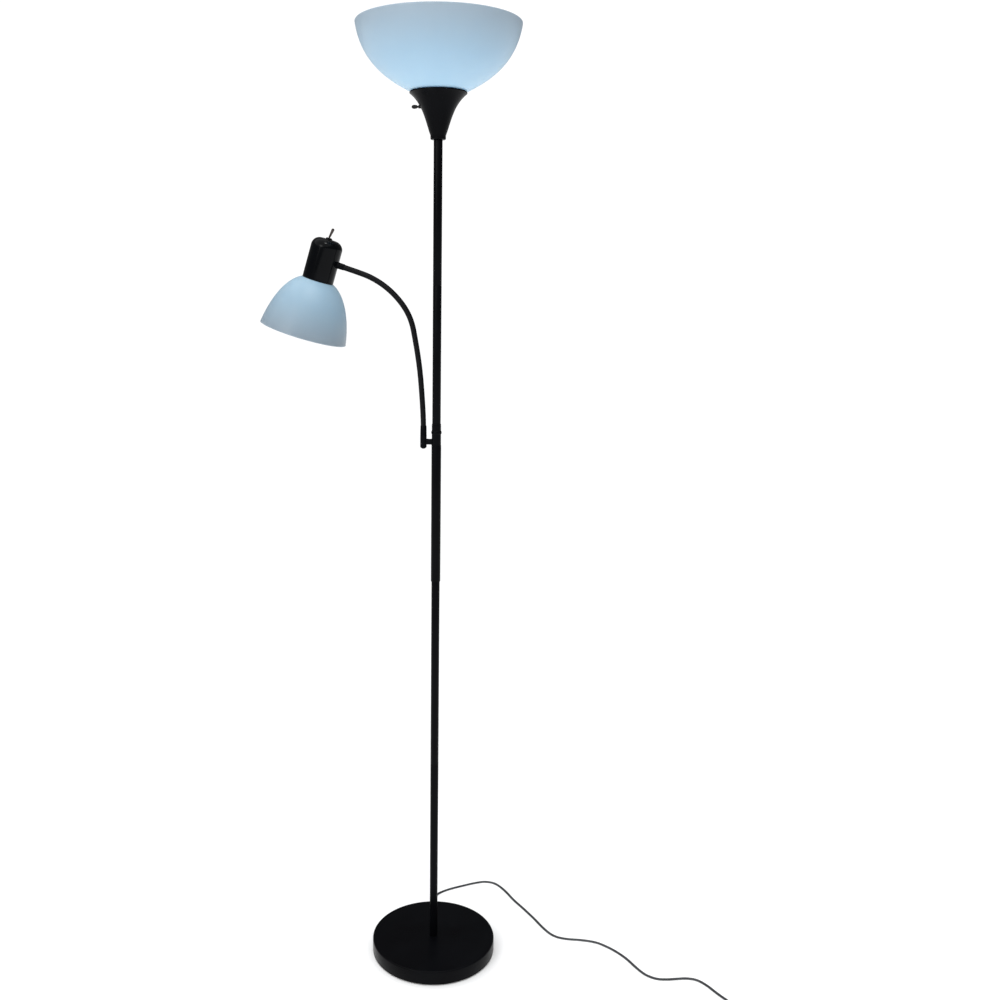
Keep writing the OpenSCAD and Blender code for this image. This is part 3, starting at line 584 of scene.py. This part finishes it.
class LAMP_OT_stage(bpy.types.Operator):
    """Sets the camera, the pale floor and the soft studio light"""
    bl_idname = "lamp.stage"
    bl_label = "Stage"

    def execute(self, context):
        scene, looks = context.scene, context.scene.lamp_stage
        scene.view_settings.view_transform = "Standard"
        lens = bpy.data.cameras.new("camera")
        lens.lens = looks.lens / MM
        lens.sensor_width = 36.0
        lens.shift_x = CAMERA_SHIFT
        camera = bpy.data.objects.new("camera", lens)
        scene.collection.objects.link(camera)
        forward = CAMERA_FORWARD.normalized()
        right = forward.cross(Vector((0, 0, 1))).normalized()
        up = right.cross(forward)
        side = math.cos(CAMERA_ROLL) * right - math.sin(CAMERA_ROLL) * up
        top = math.sin(CAMERA_ROLL) * right + math.cos(CAMERA_ROLL) * up
        turn = Matrix((side, top, -forward)).transposed().to_4x4()
        camera.matrix_world = Matrix.Translation(CAMERA_PLACE) @ turn
        lens.clip_end = 200
        scene.camera = camera

        floor_mesh = bpy.data.meshes.new("floor")
        floor_mesh.from_pydata([(x * FLOOR_REACH, y * FLOOR_REACH, 0)
                                for x, y in ((-1, -1), (1, -1), (1, 1), (-1, 1))], [], [(0, 1, 2, 3)])
        floor = bpy.data.objects.new("floor", floor_mesh)
        scene.collection.objects.link(floor)
        painted, tree, shader = new_finish("matt_white_floor", {"Specular IOR Level": 0.0})
        where = add(tree, "ShaderNodeTexCoord").outputs["Object"]
        drift = add(tree, "ShaderNodeTexNoise", {"Vector": where, "Scale": 1.5})
        tint = add(tree, "ShaderNodeMix", {0: drift.outputs["Fac"], 6: looks.floor, 7: srgb("#f9fafa")},
                   data_type="RGBA")
        tree.links.new(tint.outputs[2], shader.inputs["Base Color"])
        shader.inputs["Roughness"].default_value = 0.9
        floor_mesh.materials.append(painted)

        world = bpy.data.worlds.new("studio")
        scene.world = world
        world.use_nodes = True
        tree = world.node_tree
        path = add(tree, "ShaderNodeLightPath")
        strength = add(tree, "ShaderNodeMapRange", {
            "Value": path.outputs["Is Camera Ray"], "To Min": looks.sky, "To Max": BACKDROP})
        mirrored = add(tree, "ShaderNodeMapRange", {
            "Value": path.outputs["Is Glossy Ray"], "To Min": 1.0, "To Max": SKY_IN_GLOSS})
        shown = add(tree, "ShaderNodeMath", {0: strength.outputs[0], 1: mirrored.outputs[0]},
                    operation="MULTIPLY")
        sky = tree.nodes["Background"]
        sky.inputs["Color"].default_value = (1, 1, 1, 1)
        tree.links.new(shown.outputs[0], sky.inputs["Strength"])

        self.lamp("top_light", "SUN", looks.sun, (-0.4, -1.0, 2.4), angle=math.radians(110))
        self.lamp("front_softbox", "AREA", 16, (-1.3, -2.6, 2.4), size=1.1, target=(0, 0, 1.5))
        self.lamp("dome_sparkle", "AREA", 16, (0.2823, -0.9957, 3.789), size=0.25,
                  target=(-0.204, -0.026, 1.426))
        return {"FINISHED"}

    def lamp(self, name, kind, energy, place, size=None, angle=None, target=(0, 0, 0)):
        light = bpy.data.lights.new(name, kind)
        light.energy = energy
        if size:
            light.size = size
        if angle:
            light.angle = angle
        holder = bpy.data.objects.new(name, light)
        bpy.context.scene.collection.objects.link(holder)
        holder.location = place
        holder.rotation_mode = "QUATERNION"
        holder.rotation_quaternion = (Vector(place) - Vector(target)).to_track_quat("Z", "Y")


class LAMP_OT_cord(bpy.types.Operator):
    """Lays the mains cord, its coil, tie, plug and strain relief"""
    bl_idname = "lamp.cord"
    bl_label = "Mains cord"

    def execute(self, context):
        sizes = context.scene.lamp_sizes
        self.strain_relief()
        tie = self.tie()
        plug = self.plug()
        path = cord_centreline()
        cord = solid("mains_cord", skinned(self.cord_rings(path, sizes)), "black_pvc", hard=80)
        fitted(cord, "lamp", "black_pvc", "cord_tube", "cord_coil")
        return {"FINISHED"}

    def cord_rings(self, path, sizes):
        """Two round cores side by side, joined by a thin web, along the path."""
        core = sizes.cord_thickness / MM / 2
        apart = sizes.cord_width / MM / 2 - core
        web = 0.42 * core
        half = [(apart + core * math.cos(a), core * math.sin(a))
                for a in (math.radians(d) for d in range(-120, 121, 30))]
        section = half + [(0, web)] + [(-x, y) for x, y in reversed(half)] + [(0, -web)]
        rings = []
        for i, point in enumerate(path):
            ahead = path[min(i + 1, len(path) - 1)] - path[max(i - 1, 0)]
            ahead.normalize()
            side = Vector((ahead.y, -ahead.x, 0)).normalized()
            over = side.cross(ahead)
            rings.append([point + side * x + over * y for x, y in section])
        return rings

    def strain_relief(self):
        """A flange against the cover, and a tapered sleeve cut into rings so that it can bend."""
        out = Matrix.Rotation(EXIT_TURN, 4, "Z") @ Matrix.Rotation(math.radians(90), 4, "Y")
        place = Matrix.Translation((0, 0, 9)) @ out
        flange = solid("strain_relief_flange", turned(
            [(0, 121.4), (6, 121.4), (7, 122.3), (7, 123.4), (4.6, 123.4), (4.6, 125.2), (6.2, 125.2),
             (6.4, 125.5), (6.4, 126.2), (6.0, 126.8), (5.4, 127.3), (0, 127.3)], place, 48), "black_pvc")
        fitted(flange, "lamp", "black_pvc", "strain_relief")
        ends = [place @ Vector((0, 0, z)) for z in (127.0, 151.0)]
        sleeve = grown("strain_relief_sleeve", line_mesh(ends), TREES["wound_tube"], "black_pvc",
                       Radius=5.4 * MM, End_Radius=3.6 * MM, Pitch=2.6 * MM, Depth=0.16, Lead=0.0,
                       Start=0.0, Sides=40)
        return fitted(sleeve, "lamp", "black_pvc")

    def tie(self):
        """A soft band round the whole bundle, on the side away from the plug."""
        low, high, inner, outer = 0.8, 6.2, 25.3, 36.7
        corner, steps = 1.35, 4
        spots = [(outer - corner, high - corner, 0), (inner + corner, high - corner, 90),
                 (inner + corner, low + corner, 180), (outer - corner, low + corner, 270)]
        outline = []
        for x, z, start in spots:
            for k in range(steps + 1):
                turn = math.radians(start + 90 * k / steps)
                outline.append((x, z, math.cos(turn), math.sin(turn)))
        at = math.radians(172)
        toward = Vector((math.cos(at), math.sin(at), 0))
        across = Vector((-math.sin(at), math.cos(at), 0))
        band = [(-3.2, 0.15), (-2.9, 0.6), (-1.5, 0.75), (1.5, 0.75), (2.9, 0.6), (3.2, 0.15)]
        section = [(w, corner + t) for w, t in band] + [(w, corner + 0.02) for w, t in reversed(band)]
        points, faces = [], []
        for x, z, c, s in outline:
            for w, reach in section:
                radial = x + c * reach
                points.append(COIL_CENTRE + toward * radial + across * w + Vector((0, 0, z + s * reach)))
        count, rows = len(section), len(outline)
        for row in range(rows):
            for i in range(count):
                j, nxt = (i + 1) % count, (row + 1) % rows
                faces.append((row * count + i, row * count + j, nxt * count + j, nxt * count + i))
        band_piece = solid("cord_tie_band", (points, faces), "black_pvc")
        return fitted(band_piece, "lamp", "black_pvc", "cord_tie")

    def plug(self):
        """A moulded plug: a grooved neck that grips the cord, and a flat body with finger grips."""
        rings = []
        for step in range(0, 33):
            z = step * 0.5
            share = z / 16
            pinch = 0.5 if step % 6 in (2, 3, 4) and 3 < step < 30 else 0.0
            rings.append((z, 2.0 + 1.75 * share - pinch, 3.2 + 2.3 * share - pinch, 3.0))
        rings += [(16.3, 4.5, 6.5, 3.0), (18, 4.9, 7.4, 3.0), (21, 5.4, 9.2, 3.2), (25, 5.8, 10.8, 3.6)]
        for step in range(8):
            z = 27 + step
            rings.append((z, 5.9 - (0.35 if step % 2 else 0), 11.5 - (0.6 if step % 2 else 0), 4))
        rings += [(36, 6, 11.9, 4.5), (38, 6, 12, 5), (40.4, 6, 12, 5), (40.8, 5.8, 11.8, 5),
                  (41, 5.5, 11.5, 5)]
        place = Matrix.Translation(PLUG_TIP) @ PLUG_TURN
        body = solid("mains_plug", skinned([self.rounded(*ring) for ring in rings], place),
                     "black_pvc", hard=50)
        return fitted(body, "lamp", "black_pvc", "cord_plug")

    @staticmethod
    def rounded(z, half_x, half_y, square):
        """A rounded rectangle at a height: the higher the power, the squarer its corners."""
        ring = []
        for k in range(36):
            a = math.tau * k / 36
            c, s = math.cos(a), math.sin(a)
            x = half_x * math.copysign(abs(c) ** (2 / square), c)
            y = half_y * math.copysign(abs(s) ** (2 / square), s)
            ring.append((x, y, z))
        return ring


class LAMP_OT_base(bpy.types.Operator):
    """Spins the weighted base's steel cover"""
    bl_idname = "lamp.base"
    bl_label = "Base"

    def execute(self, context):
        low, high = low_high("base_cover")
        rim, top, wall, bend, hole = high.x, high.z, 1.2, 3.0, 7.5
        crown = 0.25
        shoulder = rim - bend
        outer = [(hole, top)] + [(r, top - crown * (r / shoulder) ** 2) for r in range(12, 121, 12)]
        outer += arc((shoulder, top - crown - bend), bend, 90, 0, 10)
        foot = [(rim, low.z + 0.9), (rim - 0.2, low.z + 0.3), (rim - 0.6, low.z),
                (rim - wall, low.z + 0.2), (rim - wall, low.z + 1)]
        inner = arc((shoulder, top - crown - bend), bend - wall, 0, 90, 6)
        inner += [(12, top - wall), (hole, top - wall)]
        cover = solid("base_shell", turned(outer + foot + inner, steps=160), "black_enamel")
        fitted(cover, "lamp", "black_enamel", "base_cover")
        return {"FINISHED"}


class LAMP_OT_pole(bpy.types.Operator):
    """Draws the five pole tubes and turns the coupling that carries the arm"""
    bl_idname = "lamp.pole"
    bl_label = "Pole"

    def execute(self, context):
        bore, ease_edge = 7.2, 0.45
        for number in range(1, 6):
            node = f"pole_tube_{number}"
            low, high = low_high(node)
            r = high.x
            profile = [(bore, low.z), (r - ease_edge, low.z)]
            profile += arc((r - ease_edge, low.z + ease_edge), ease_edge, -90, 0, 3)
            profile += arc((r - ease_edge, high.z - ease_edge), ease_edge, 0, 90, 3) + [(bore, high.z)]
            tube = solid(f"pole_section_{number}", turned(profile, steps=64), "black_enamel")
            fitted(tube, "lamp", "black_enamel", node)
        low, high = low_high("pole_tube_4")
        top = low.z
        bottom = low_high("pole_tube_3")[1].z
        neck, bead_middle, bead = 8.8, top - 16, 6.1
        reach = math.degrees(math.acos((neck - 3.8) / bead))
        profile = [(bore, bottom), (neck - 0.4, bottom), (neck, bottom + 0.4)]
        profile += arc((3.8, bead_middle), bead, -reach, reach, 14)
        profile += [(neck, top - 2.6), (neck - 0.35, top - 2.3), (neck - 0.35, top - 1.9),
                    (neck, top - 1.6), (neck, top - 0.4), (neck - 0.4, top), (bore, top)]
        coupling = solid("pole_coupling", turned(profile, steps=72), "black_enamel")
        fitted(coupling, "lamp", "black_enamel", "arm_coupling")
        return {"FINISHED"}


class LAMP_OT_arm(bpy.types.Operator):
    """Makes the arm's bridge, its knuckle and the swivel ferrule"""
    bl_idname = "lamp.arm"
    bl_label = "Arm"

    def execute(self, context):
        arm_z, out, r = 1062.0, 25.0, 6.2
        axis = Matrix.Translation((-out, 0, 0))
        dome = arc((0, 1055.1), 6.944, -90, math.degrees(math.asin(-3.1 / 6.944)), 10)
        dome[0] = (0, dome[0][1])
        knuckle = dome + [(r, 1052.4), (r, 1075.4), (r - 0.6, 1076), (0, 1076)]
        fitted(solid("arm_knuckle", turned(knuckle, axis, 64), "black_enamel"), "lamp", "black_enamel",
               "arm_elbow", "elbow_cap")
        across = Matrix.Translation((0, 0, arm_z)) @ Matrix.Rotation(math.radians(-90), 4, "Y")
        weld = [(0, 7.6), (6.4, 7.6), (6.3, 8.6), (5.9, 9.3), (5.5, 10.2), (5.5, 17.6), (5.8, 18.6),
                (6.1, 19.6), (0, 19.6)]
        fitted(solid("arm_bridge", turned(weld, across, 48), "black_enamel"), "lamp", "black_enamel",
               "arm_stub")
        lip = low_high("arm_ferrule")[1].z
        foot = NECK_FOOT.z + 0.3
        ferrule = [(0, foot - 6), (3.4, foot - 6), (3.4, foot), (5.7, foot), (6.15, foot + 0.5)]
        for groove in (3.0, 4.6):
            ferrule += [(6.08, foot + groove), (5.75, foot + groove + 0.25), (5.75, foot + groove + 0.55),
                        (6.06, foot + groove + 0.8)]
        ferrule += [(5.76, lip - 0.5), (5.5, lip - 0.05), (4.6, lip - 0.05), (4.6, lip - 3), (0, lip - 3)]
        fitted(solid("swivel_ferrule", turned(ferrule, axis, 64), "black_enamel"), "arm",
               "black_enamel", "arm_ferrule")
        return {"FINISHED"}


class LAMP_OT_gooseneck(bpy.types.Operator):
    """Winds the gooseneck link by link, with a ball inside each bend that keeps it closed"""
    bl_idname = "lamp.gooseneck"
    bl_label = "Gooseneck"

    def execute(self, context):
        sizes = context.scene.lamp_sizes
        count = len(LINK_TURNS)
        bodies = ["arm"] + [f"neck_{i}" for i in range(2, count)] + ["head"]
        foot_gap, tip_gap = 4.5, 2.0  # the ferrules cover these ends
        ball_radius = NECK_RADIUS * (1 - sizes.wind_depth) - 0.05
        cuts = [foot_gap] + [LINK_LENGTH * i for i in range(1, count)] + [LINK_LENGTH * count - tip_gap]
        for link, (start, end) in enumerate(zip(cuts, cuts[1:])):
            steps = round(end - start)
            points = [neck_at(start + (end - start) * k / steps) for k in range(steps + 1)]
            piece = grown(f"gooseneck_{link + 1}", line_mesh(points), TREES["wound_tube"], "gooseneck",
                          Radius=NECK_RADIUS * MM, End_Radius=NECK_RADIUS * MM,
                          Pitch=sizes.wind_pitch, Depth=sizes.wind_depth, Lead=1.0,
                          Start=start * MM, Sides=28)
            fitted(piece, bodies[link], "gooseneck", f"neck_link_{link + 1}")
            if link:
                profile = arc((0, 0), ball_radius, -90, 90, 20)
                profile[0], profile[-1] = (0, -ball_radius), (0, ball_radius)
                ball = solid(f"gooseneck_ball_{link}", turned(profile, Matrix.Translation(points[0]), 32),
                             "gooseneck", 60)
                fitted(ball, bodies[link], "gooseneck", f"neck_link_{link + 1}")
        return {"FINISHED"}


class LAMP_OT_head(bpy.types.Operator):
    """Makes the reading light's housing, ferrule, nut and turn key"""
    bl_idname = "lamp.head"
    bl_label = "Reading light"

    def execute(self, context):
        r, h, dome, wall = HOUSING_RADIUS, HOUSING_HEIGHT, 16.0, 2.0
        profile = [(r - wall, 0), (r - 0.5, 0), (r, 0.5), (r, 2.2), (r - 0.3, 2.5), (r - 0.3, 3.0),
                   (r, 3.3)]
        profile += arc((r - dome, h - dome), dome, 0, 90, 24) + [(4.5, h), (4.5, h - wall)]
        profile += arc((r - dome, h - dome), dome - wall, 90, 0, 12)
        fitted(solid("head_cap", turned(profile, HEAD_PLACE, 128), "black_gloss_plastic"), "head",
               "black_gloss_plastic", "head_housing")
        side = HEAD_PLACE @ Matrix.Translation((0, 0, ENTRY_HEIGHT)) @ Matrix.Rotation(
            math.radians(90), 4, "Y")
        ferrule = [(0, r - 5.2), (4.4, r - 5.2), (4.4, r - 1.6), (6.3, r - 1.2), (6.3, r + 1.4),
                   (6.0, r + 1.8), (5.95, r + 4), (5.6, r + 4.3), (5.6, r + 4.7), (5.95, r + 5),
                   (5.75, r + 12.6), (5.5, r + 13), (4.6, r + 13), (4.6, r + 10), (0, r + 10)]
        fitted(solid("head_entry_ferrule", turned(ferrule, side, 64), "black_enamel"), "head",
               "black_enamel", "head_ferrule")
        nut = [(4.0, h - 0.2), (5.7, h), (6.4, h + 0.25), (6.4, h + 1.9), (5.7, h + 2.4), (4.0, h + 2.4)]
        fitted(solid("switch_bush_nut", turned(nut, HEAD_PLACE, 6), "black_enamel", 20), "head",
               "black_enamel", "head_switch_nut")
        self.key(h + 5)
        return {"FINISHED"}

    def key(self, foot):
        """A stem and a flat stamped paddle, waisted at its foot and eased all round its edge."""
        lean = Matrix.Translation((0, 0, foot)) @ Matrix.Rotation(math.radians(11), 4, "Y")
        outline = [(2.7 * math.cos(a), 14 + 2.7 * math.sin(a))
                   for a in (math.pi * k / 12 for k in range(13))]
        outline += [(-2.5, 11), (-2.2, 7), (-1.9, 3), (-1.7, -1), (1.7, -1), (1.9, 3), (2.2, 7), (2.5, 11)]
        middle = Vector((0, 6.5))
        rings = []
        for level, inset in ((-1.1, 0.45), (-0.9, 0.14), (-0.6, 0.0), (0.6, 0.0), (0.9, 0.14), (1.1, 0.45)):
            ring = []
            for x, z in outline:
                toward = (middle - Vector((x, z))).normalized() * inset
                ring.append((x + toward.x, level, z + toward.y))
            rings.append(ring)
        paddle = solid("turn_key_paddle", skinned(rings, HEAD_PLACE @ lean), "key_metal")
        fitted(paddle, "head_key", "key_metal", "head_switch_key")
        stem = [(0, foot - 38), (1.8, foot - 38), (1.8, foot - 2.2), (1.5, foot - 1.9), (1.5, foot - 1.5),
                (1.8, foot - 1.2), (1.8, foot + 0.3), (1.2, foot + 0.8), (0, foot + 0.8)]
        fitted(solid("turn_key_stem", turned(stem, HEAD_PLACE, 32), "key_metal"), "head_key", "key_metal")


class LAMP_OT_shades(bpy.types.Operator):
    """Moulds the two milky shades and the ribbed rings that hold them"""
    bl_idname = "lamp.shades"
    bl_label = "Shades"

    def execute(self, context):
        low, high = low_high("bowl_shade")
        seat, rim, tall = 44.5, high.x, high.z - low.z
        grow = rim - seat
        outline = [(seat, 0), (seat + 0.516 * grow, 0.211 * tall), (seat + 0.908 * grow, 0.47 * tall),
                   (rim, tall - 1.2)]
        wall = walled(outline, 2.4, 56)
        profile = [(20.4, 0)] + wall + [(20.4, 2.4)]
        bowl = solid("torchiere_bowl", turned(profile, Matrix.Translation((0, 0, low.z)), 192),
                     "frosted_shade", 40)
        fitted(bowl, "lamp", "frosted_shade", "bowl_shade")

        shoulder, lip, mouth = 30.4, 32.0, 83.0
        grow = mouth - lip
        outline = [(shoulder, 0), (lip + 0.4 * grow, -0.1 * SHADE_LENGTH),
                   (lip + 0.82 * grow, -0.43 * SHADE_LENGTH), (mouth, 1 - SHADE_LENGTH)]
        wall = walled(outline, -2.0, 48)
        profile = [(20.4, 0)] + wall + [(20.4, -2.0)]
        shade = solid("reading_shade", turned(profile, HEAD_PLACE, 160), "reading_shade", 40)
        fitted(shade, "head", "frosted_shade", "head_shade")

        ring = [(20.1, 0), (24.2, 0), (24.7, 0.4), (24.7, 4.6), (24.2, 5), (20.1, 5)]
        places = {
            "torchiere_shade_ring": ("lamp", "bowl_shade_ring", low.z + 2.4, Matrix()),
            "reading_shade_ring": ("head", "head_shade_ring", -7.0, HEAD_PLACE),
        }
        for name, (body, node, level, place) in places.items():
            raised = place @ Matrix.Translation((0, 0, level))
            source = solid(name + "_blank", turned(ring, steps=60), "black_phenolic")
            mesh = source.data
            bpy.data.objects.remove(source)
            placed = Matrix.Translation(raised.translation * MM) @ raised.to_3x3().to_4x4()
            piece = grown(name, mesh, TREES["ribbed_ring"], "black_phenolic", place=placed,
                          Count=context.scene.lamp_sizes.ring_ribs, Ring_Radius=24.6 * MM,
                          Rib_Radius=0.85 * MM, Rib_Height=4.4 * MM, Level=2.5 * MM)
            fitted(piece, body, "black_phenolic", node)
        return {"FINISHED"}


class LAMP_OT_torchiere(bpy.types.Operator):
    """Spins the cup under the bowl and turns its switch knob"""
    bl_idname = "lamp.torchiere"
    bl_label = "Cup and knob"

    def execute(self, context):
        low, high = low_high("cup")
        neck, lip, tall, wall = 13.9, high.x, high.z - low.z, 1.2
        grow = lip - neck
        outline = [(neck, 7), (neck + 0.21 * grow, 0.334 * tall), (neck + 0.342 * grow, 0.739 * tall),
                   (lip, 0.975 * tall)]
        outer = [tuple(bezier(outline, i / 40)[0]) for i in range(41)]
        inner = [tuple(p + side * wall) for p, side in (bezier(outline, i / 40) for i in range(40, -1, -1))]
        profile = [(7.5, 0), (neck - 3, 0)] + arc((neck - 2, 2), 2, -90, 0, 5) + outer
        profile += [(lip, tall - 0.5), (lip - 0.2, tall - 0.1), (lip - 0.6, tall), (lip - 1.1, tall - 0.2)]
        profile += inner + [(neck - wall, 1.5), (7.5, 1.5)]
        cup = solid("bowl_cup", turned(profile, Matrix.Translation((0, 0, low.z)), 128), "black_enamel")
        fitted(cup, "lamp", "black_enamel", "cup")

        knob_z, tip, long = 1664.5, 48.8, 11.0
        place = Matrix.Translation((0, 0, knob_z)) @ Matrix.Rotation(math.radians(-90), 4, "Y")
        side = [bezier([(1.8, 0), (4, 2.5), (4.6, long), (0, long)], i / 16)[0] for i in range(17)]
        profile = [(0, 24.3), (1.6, 24.3), (1.6, tip - long)] + [(p.x, tip - long + p.y) for p in side]
        profile[-1] = (0, tip)
        points, faces = turned(profile, steps=40)
        flat = [(x, max(-2.1, min(2.1, y)) if z > tip - long else y, z) for x, y, z in points]
        knob = solid("bowl_knob_cap", ([place @ Vector(p) for p in flat], faces), "black_phenolic", 40)
        fitted(knob, "bowl_knob", "black_phenolic", "bowl_switch_knob")
        return {"FINISHED"}


class LAMP_OT_bulbs(bpy.types.Operator):
    """Blows the two frosted bulbs"""
    bl_idname = "lamp.bulbs"
    bl_label = "Bulbs"

    def execute(self, context):
        holder = Matrix.Translation((0, 0, low_high("bowl_holder")[1].z))
        facing_down = HEAD_PLACE @ Matrix.Translation((0, 0, -8)) @ Matrix.Rotation(math.pi, 4, "X")
        for name, node, body, wide, tall, place in (
                ("torchiere_bulb", "bowl_bulb_glass", "lamp", 60, 80, holder),
                ("reading_bulb", "head_bulb_glass", "head", 48, 62, facing_down)):
            middle = tall - wide / 2
            meet = math.radians(12)
            outline = [(13.0, -1), (14.3, 12), (wide * 0.42, middle - wide * 0.55),
                       (wide / 2 * math.cos(meet), middle - wide / 2 * math.sin(meet))]
            profile = [(0, -1)] + [tuple(bezier(outline, i / 24)[0]) for i in range(24)]
            profile += arc((0, middle), wide / 2, -12, 90, 30)
            profile[-1] = (0, tall)
            bulb = solid(name, turned(profile, place, 80), "frosted_glass", 60)
            fitted(bulb, body, "frosted_glass", node)
        return {"FINISHED"}


class LAMP_OT_finishes(bpy.types.Operator):
    """Gives the frame nodes that still show the finish of their own slot"""
    bl_idname = "lamp.finishes"
    bl_label = "Finish the frame"

    def execute(self, context):
        by_node = {row["node"]: row["material_slot"] for row in frame["record"]["subparts"]}
        for name, node in frame["nodes"].items():
            if node.hide_render:
                continue
            for slot in node.material_slots:
                slot.material = FINISHES[by_node[name]]
        return {"FINISHED"}


class LAMP_PT_panel(bpy.types.Panel):
    """The lamp's settings and the steps that build it"""
    bl_label = "Torchiere lamp"
    bl_idname = "LAMP_PT_panel"
    bl_space_type = "VIEW_3D"
    bl_region_type = "UI"
    bl_category = "Lamp"

    def draw(self, context):
        for group in (context.scene.lamp_colours, context.scene.lamp_sizes, context.scene.lamp_stage):
            box = self.layout.box()
            for name in group.bl_rna.properties.keys():
                if name not in ("rna_type", "name"):
                    box.prop(group, name)
        for step in STEPS:
            self.layout.operator(step.bl_idname)


STEPS = (LAMP_OT_stage, LAMP_OT_cord, LAMP_OT_shades, LAMP_OT_torchiere, LAMP_OT_head,
         LAMP_OT_gooseneck, LAMP_OT_arm, LAMP_OT_pole, LAMP_OT_base, LAMP_OT_bulbs, LAMP_OT_finishes)
CLASSES = (LampColours, LampSizes, LampStage) + STEPS + (LAMP_PT_panel,)


def register():
    for cls in CLASSES:
        bpy.utils.register_class(cls)
    bpy.types.Scene.lamp_colours = PointerProperty(type=LampColours)
    bpy.types.Scene.lamp_sizes = PointerProperty(type=LampSizes)
    bpy.types.Scene.lamp_stage = PointerProperty(type=LampStage)


def unregister():
    del bpy.types.Scene.lamp_stage
    del bpy.types.Scene.lamp_sizes
    del bpy.types.Scene.lamp_colours
    for cls in reversed(CLASSES):
        bpy.utils.unregister_class(cls)


def main():
    register()
    FINISHES.update(make_finishes(bpy.context.scene.lamp_colours))
    TREES.update(wound_tube=wound_tube_tree(), ribbed_ring=ribbed_ring_tree())
    bpy.ops.lamp.stage()
    bpy.ops.lamp.cord()
    bpy.ops.lamp.shades()
    bpy.ops.lamp.torchiere()
    bpy.ops.lamp.head()
    bpy.ops.lamp.gooseneck()
    bpy.ops.lamp.arm()
    bpy.ops.lamp.pole()
    bpy.ops.lamp.base()
    bpy.ops.lamp.bulbs()
    bpy.ops.lamp.finishes()


if __name__ == "__main__":
    main()
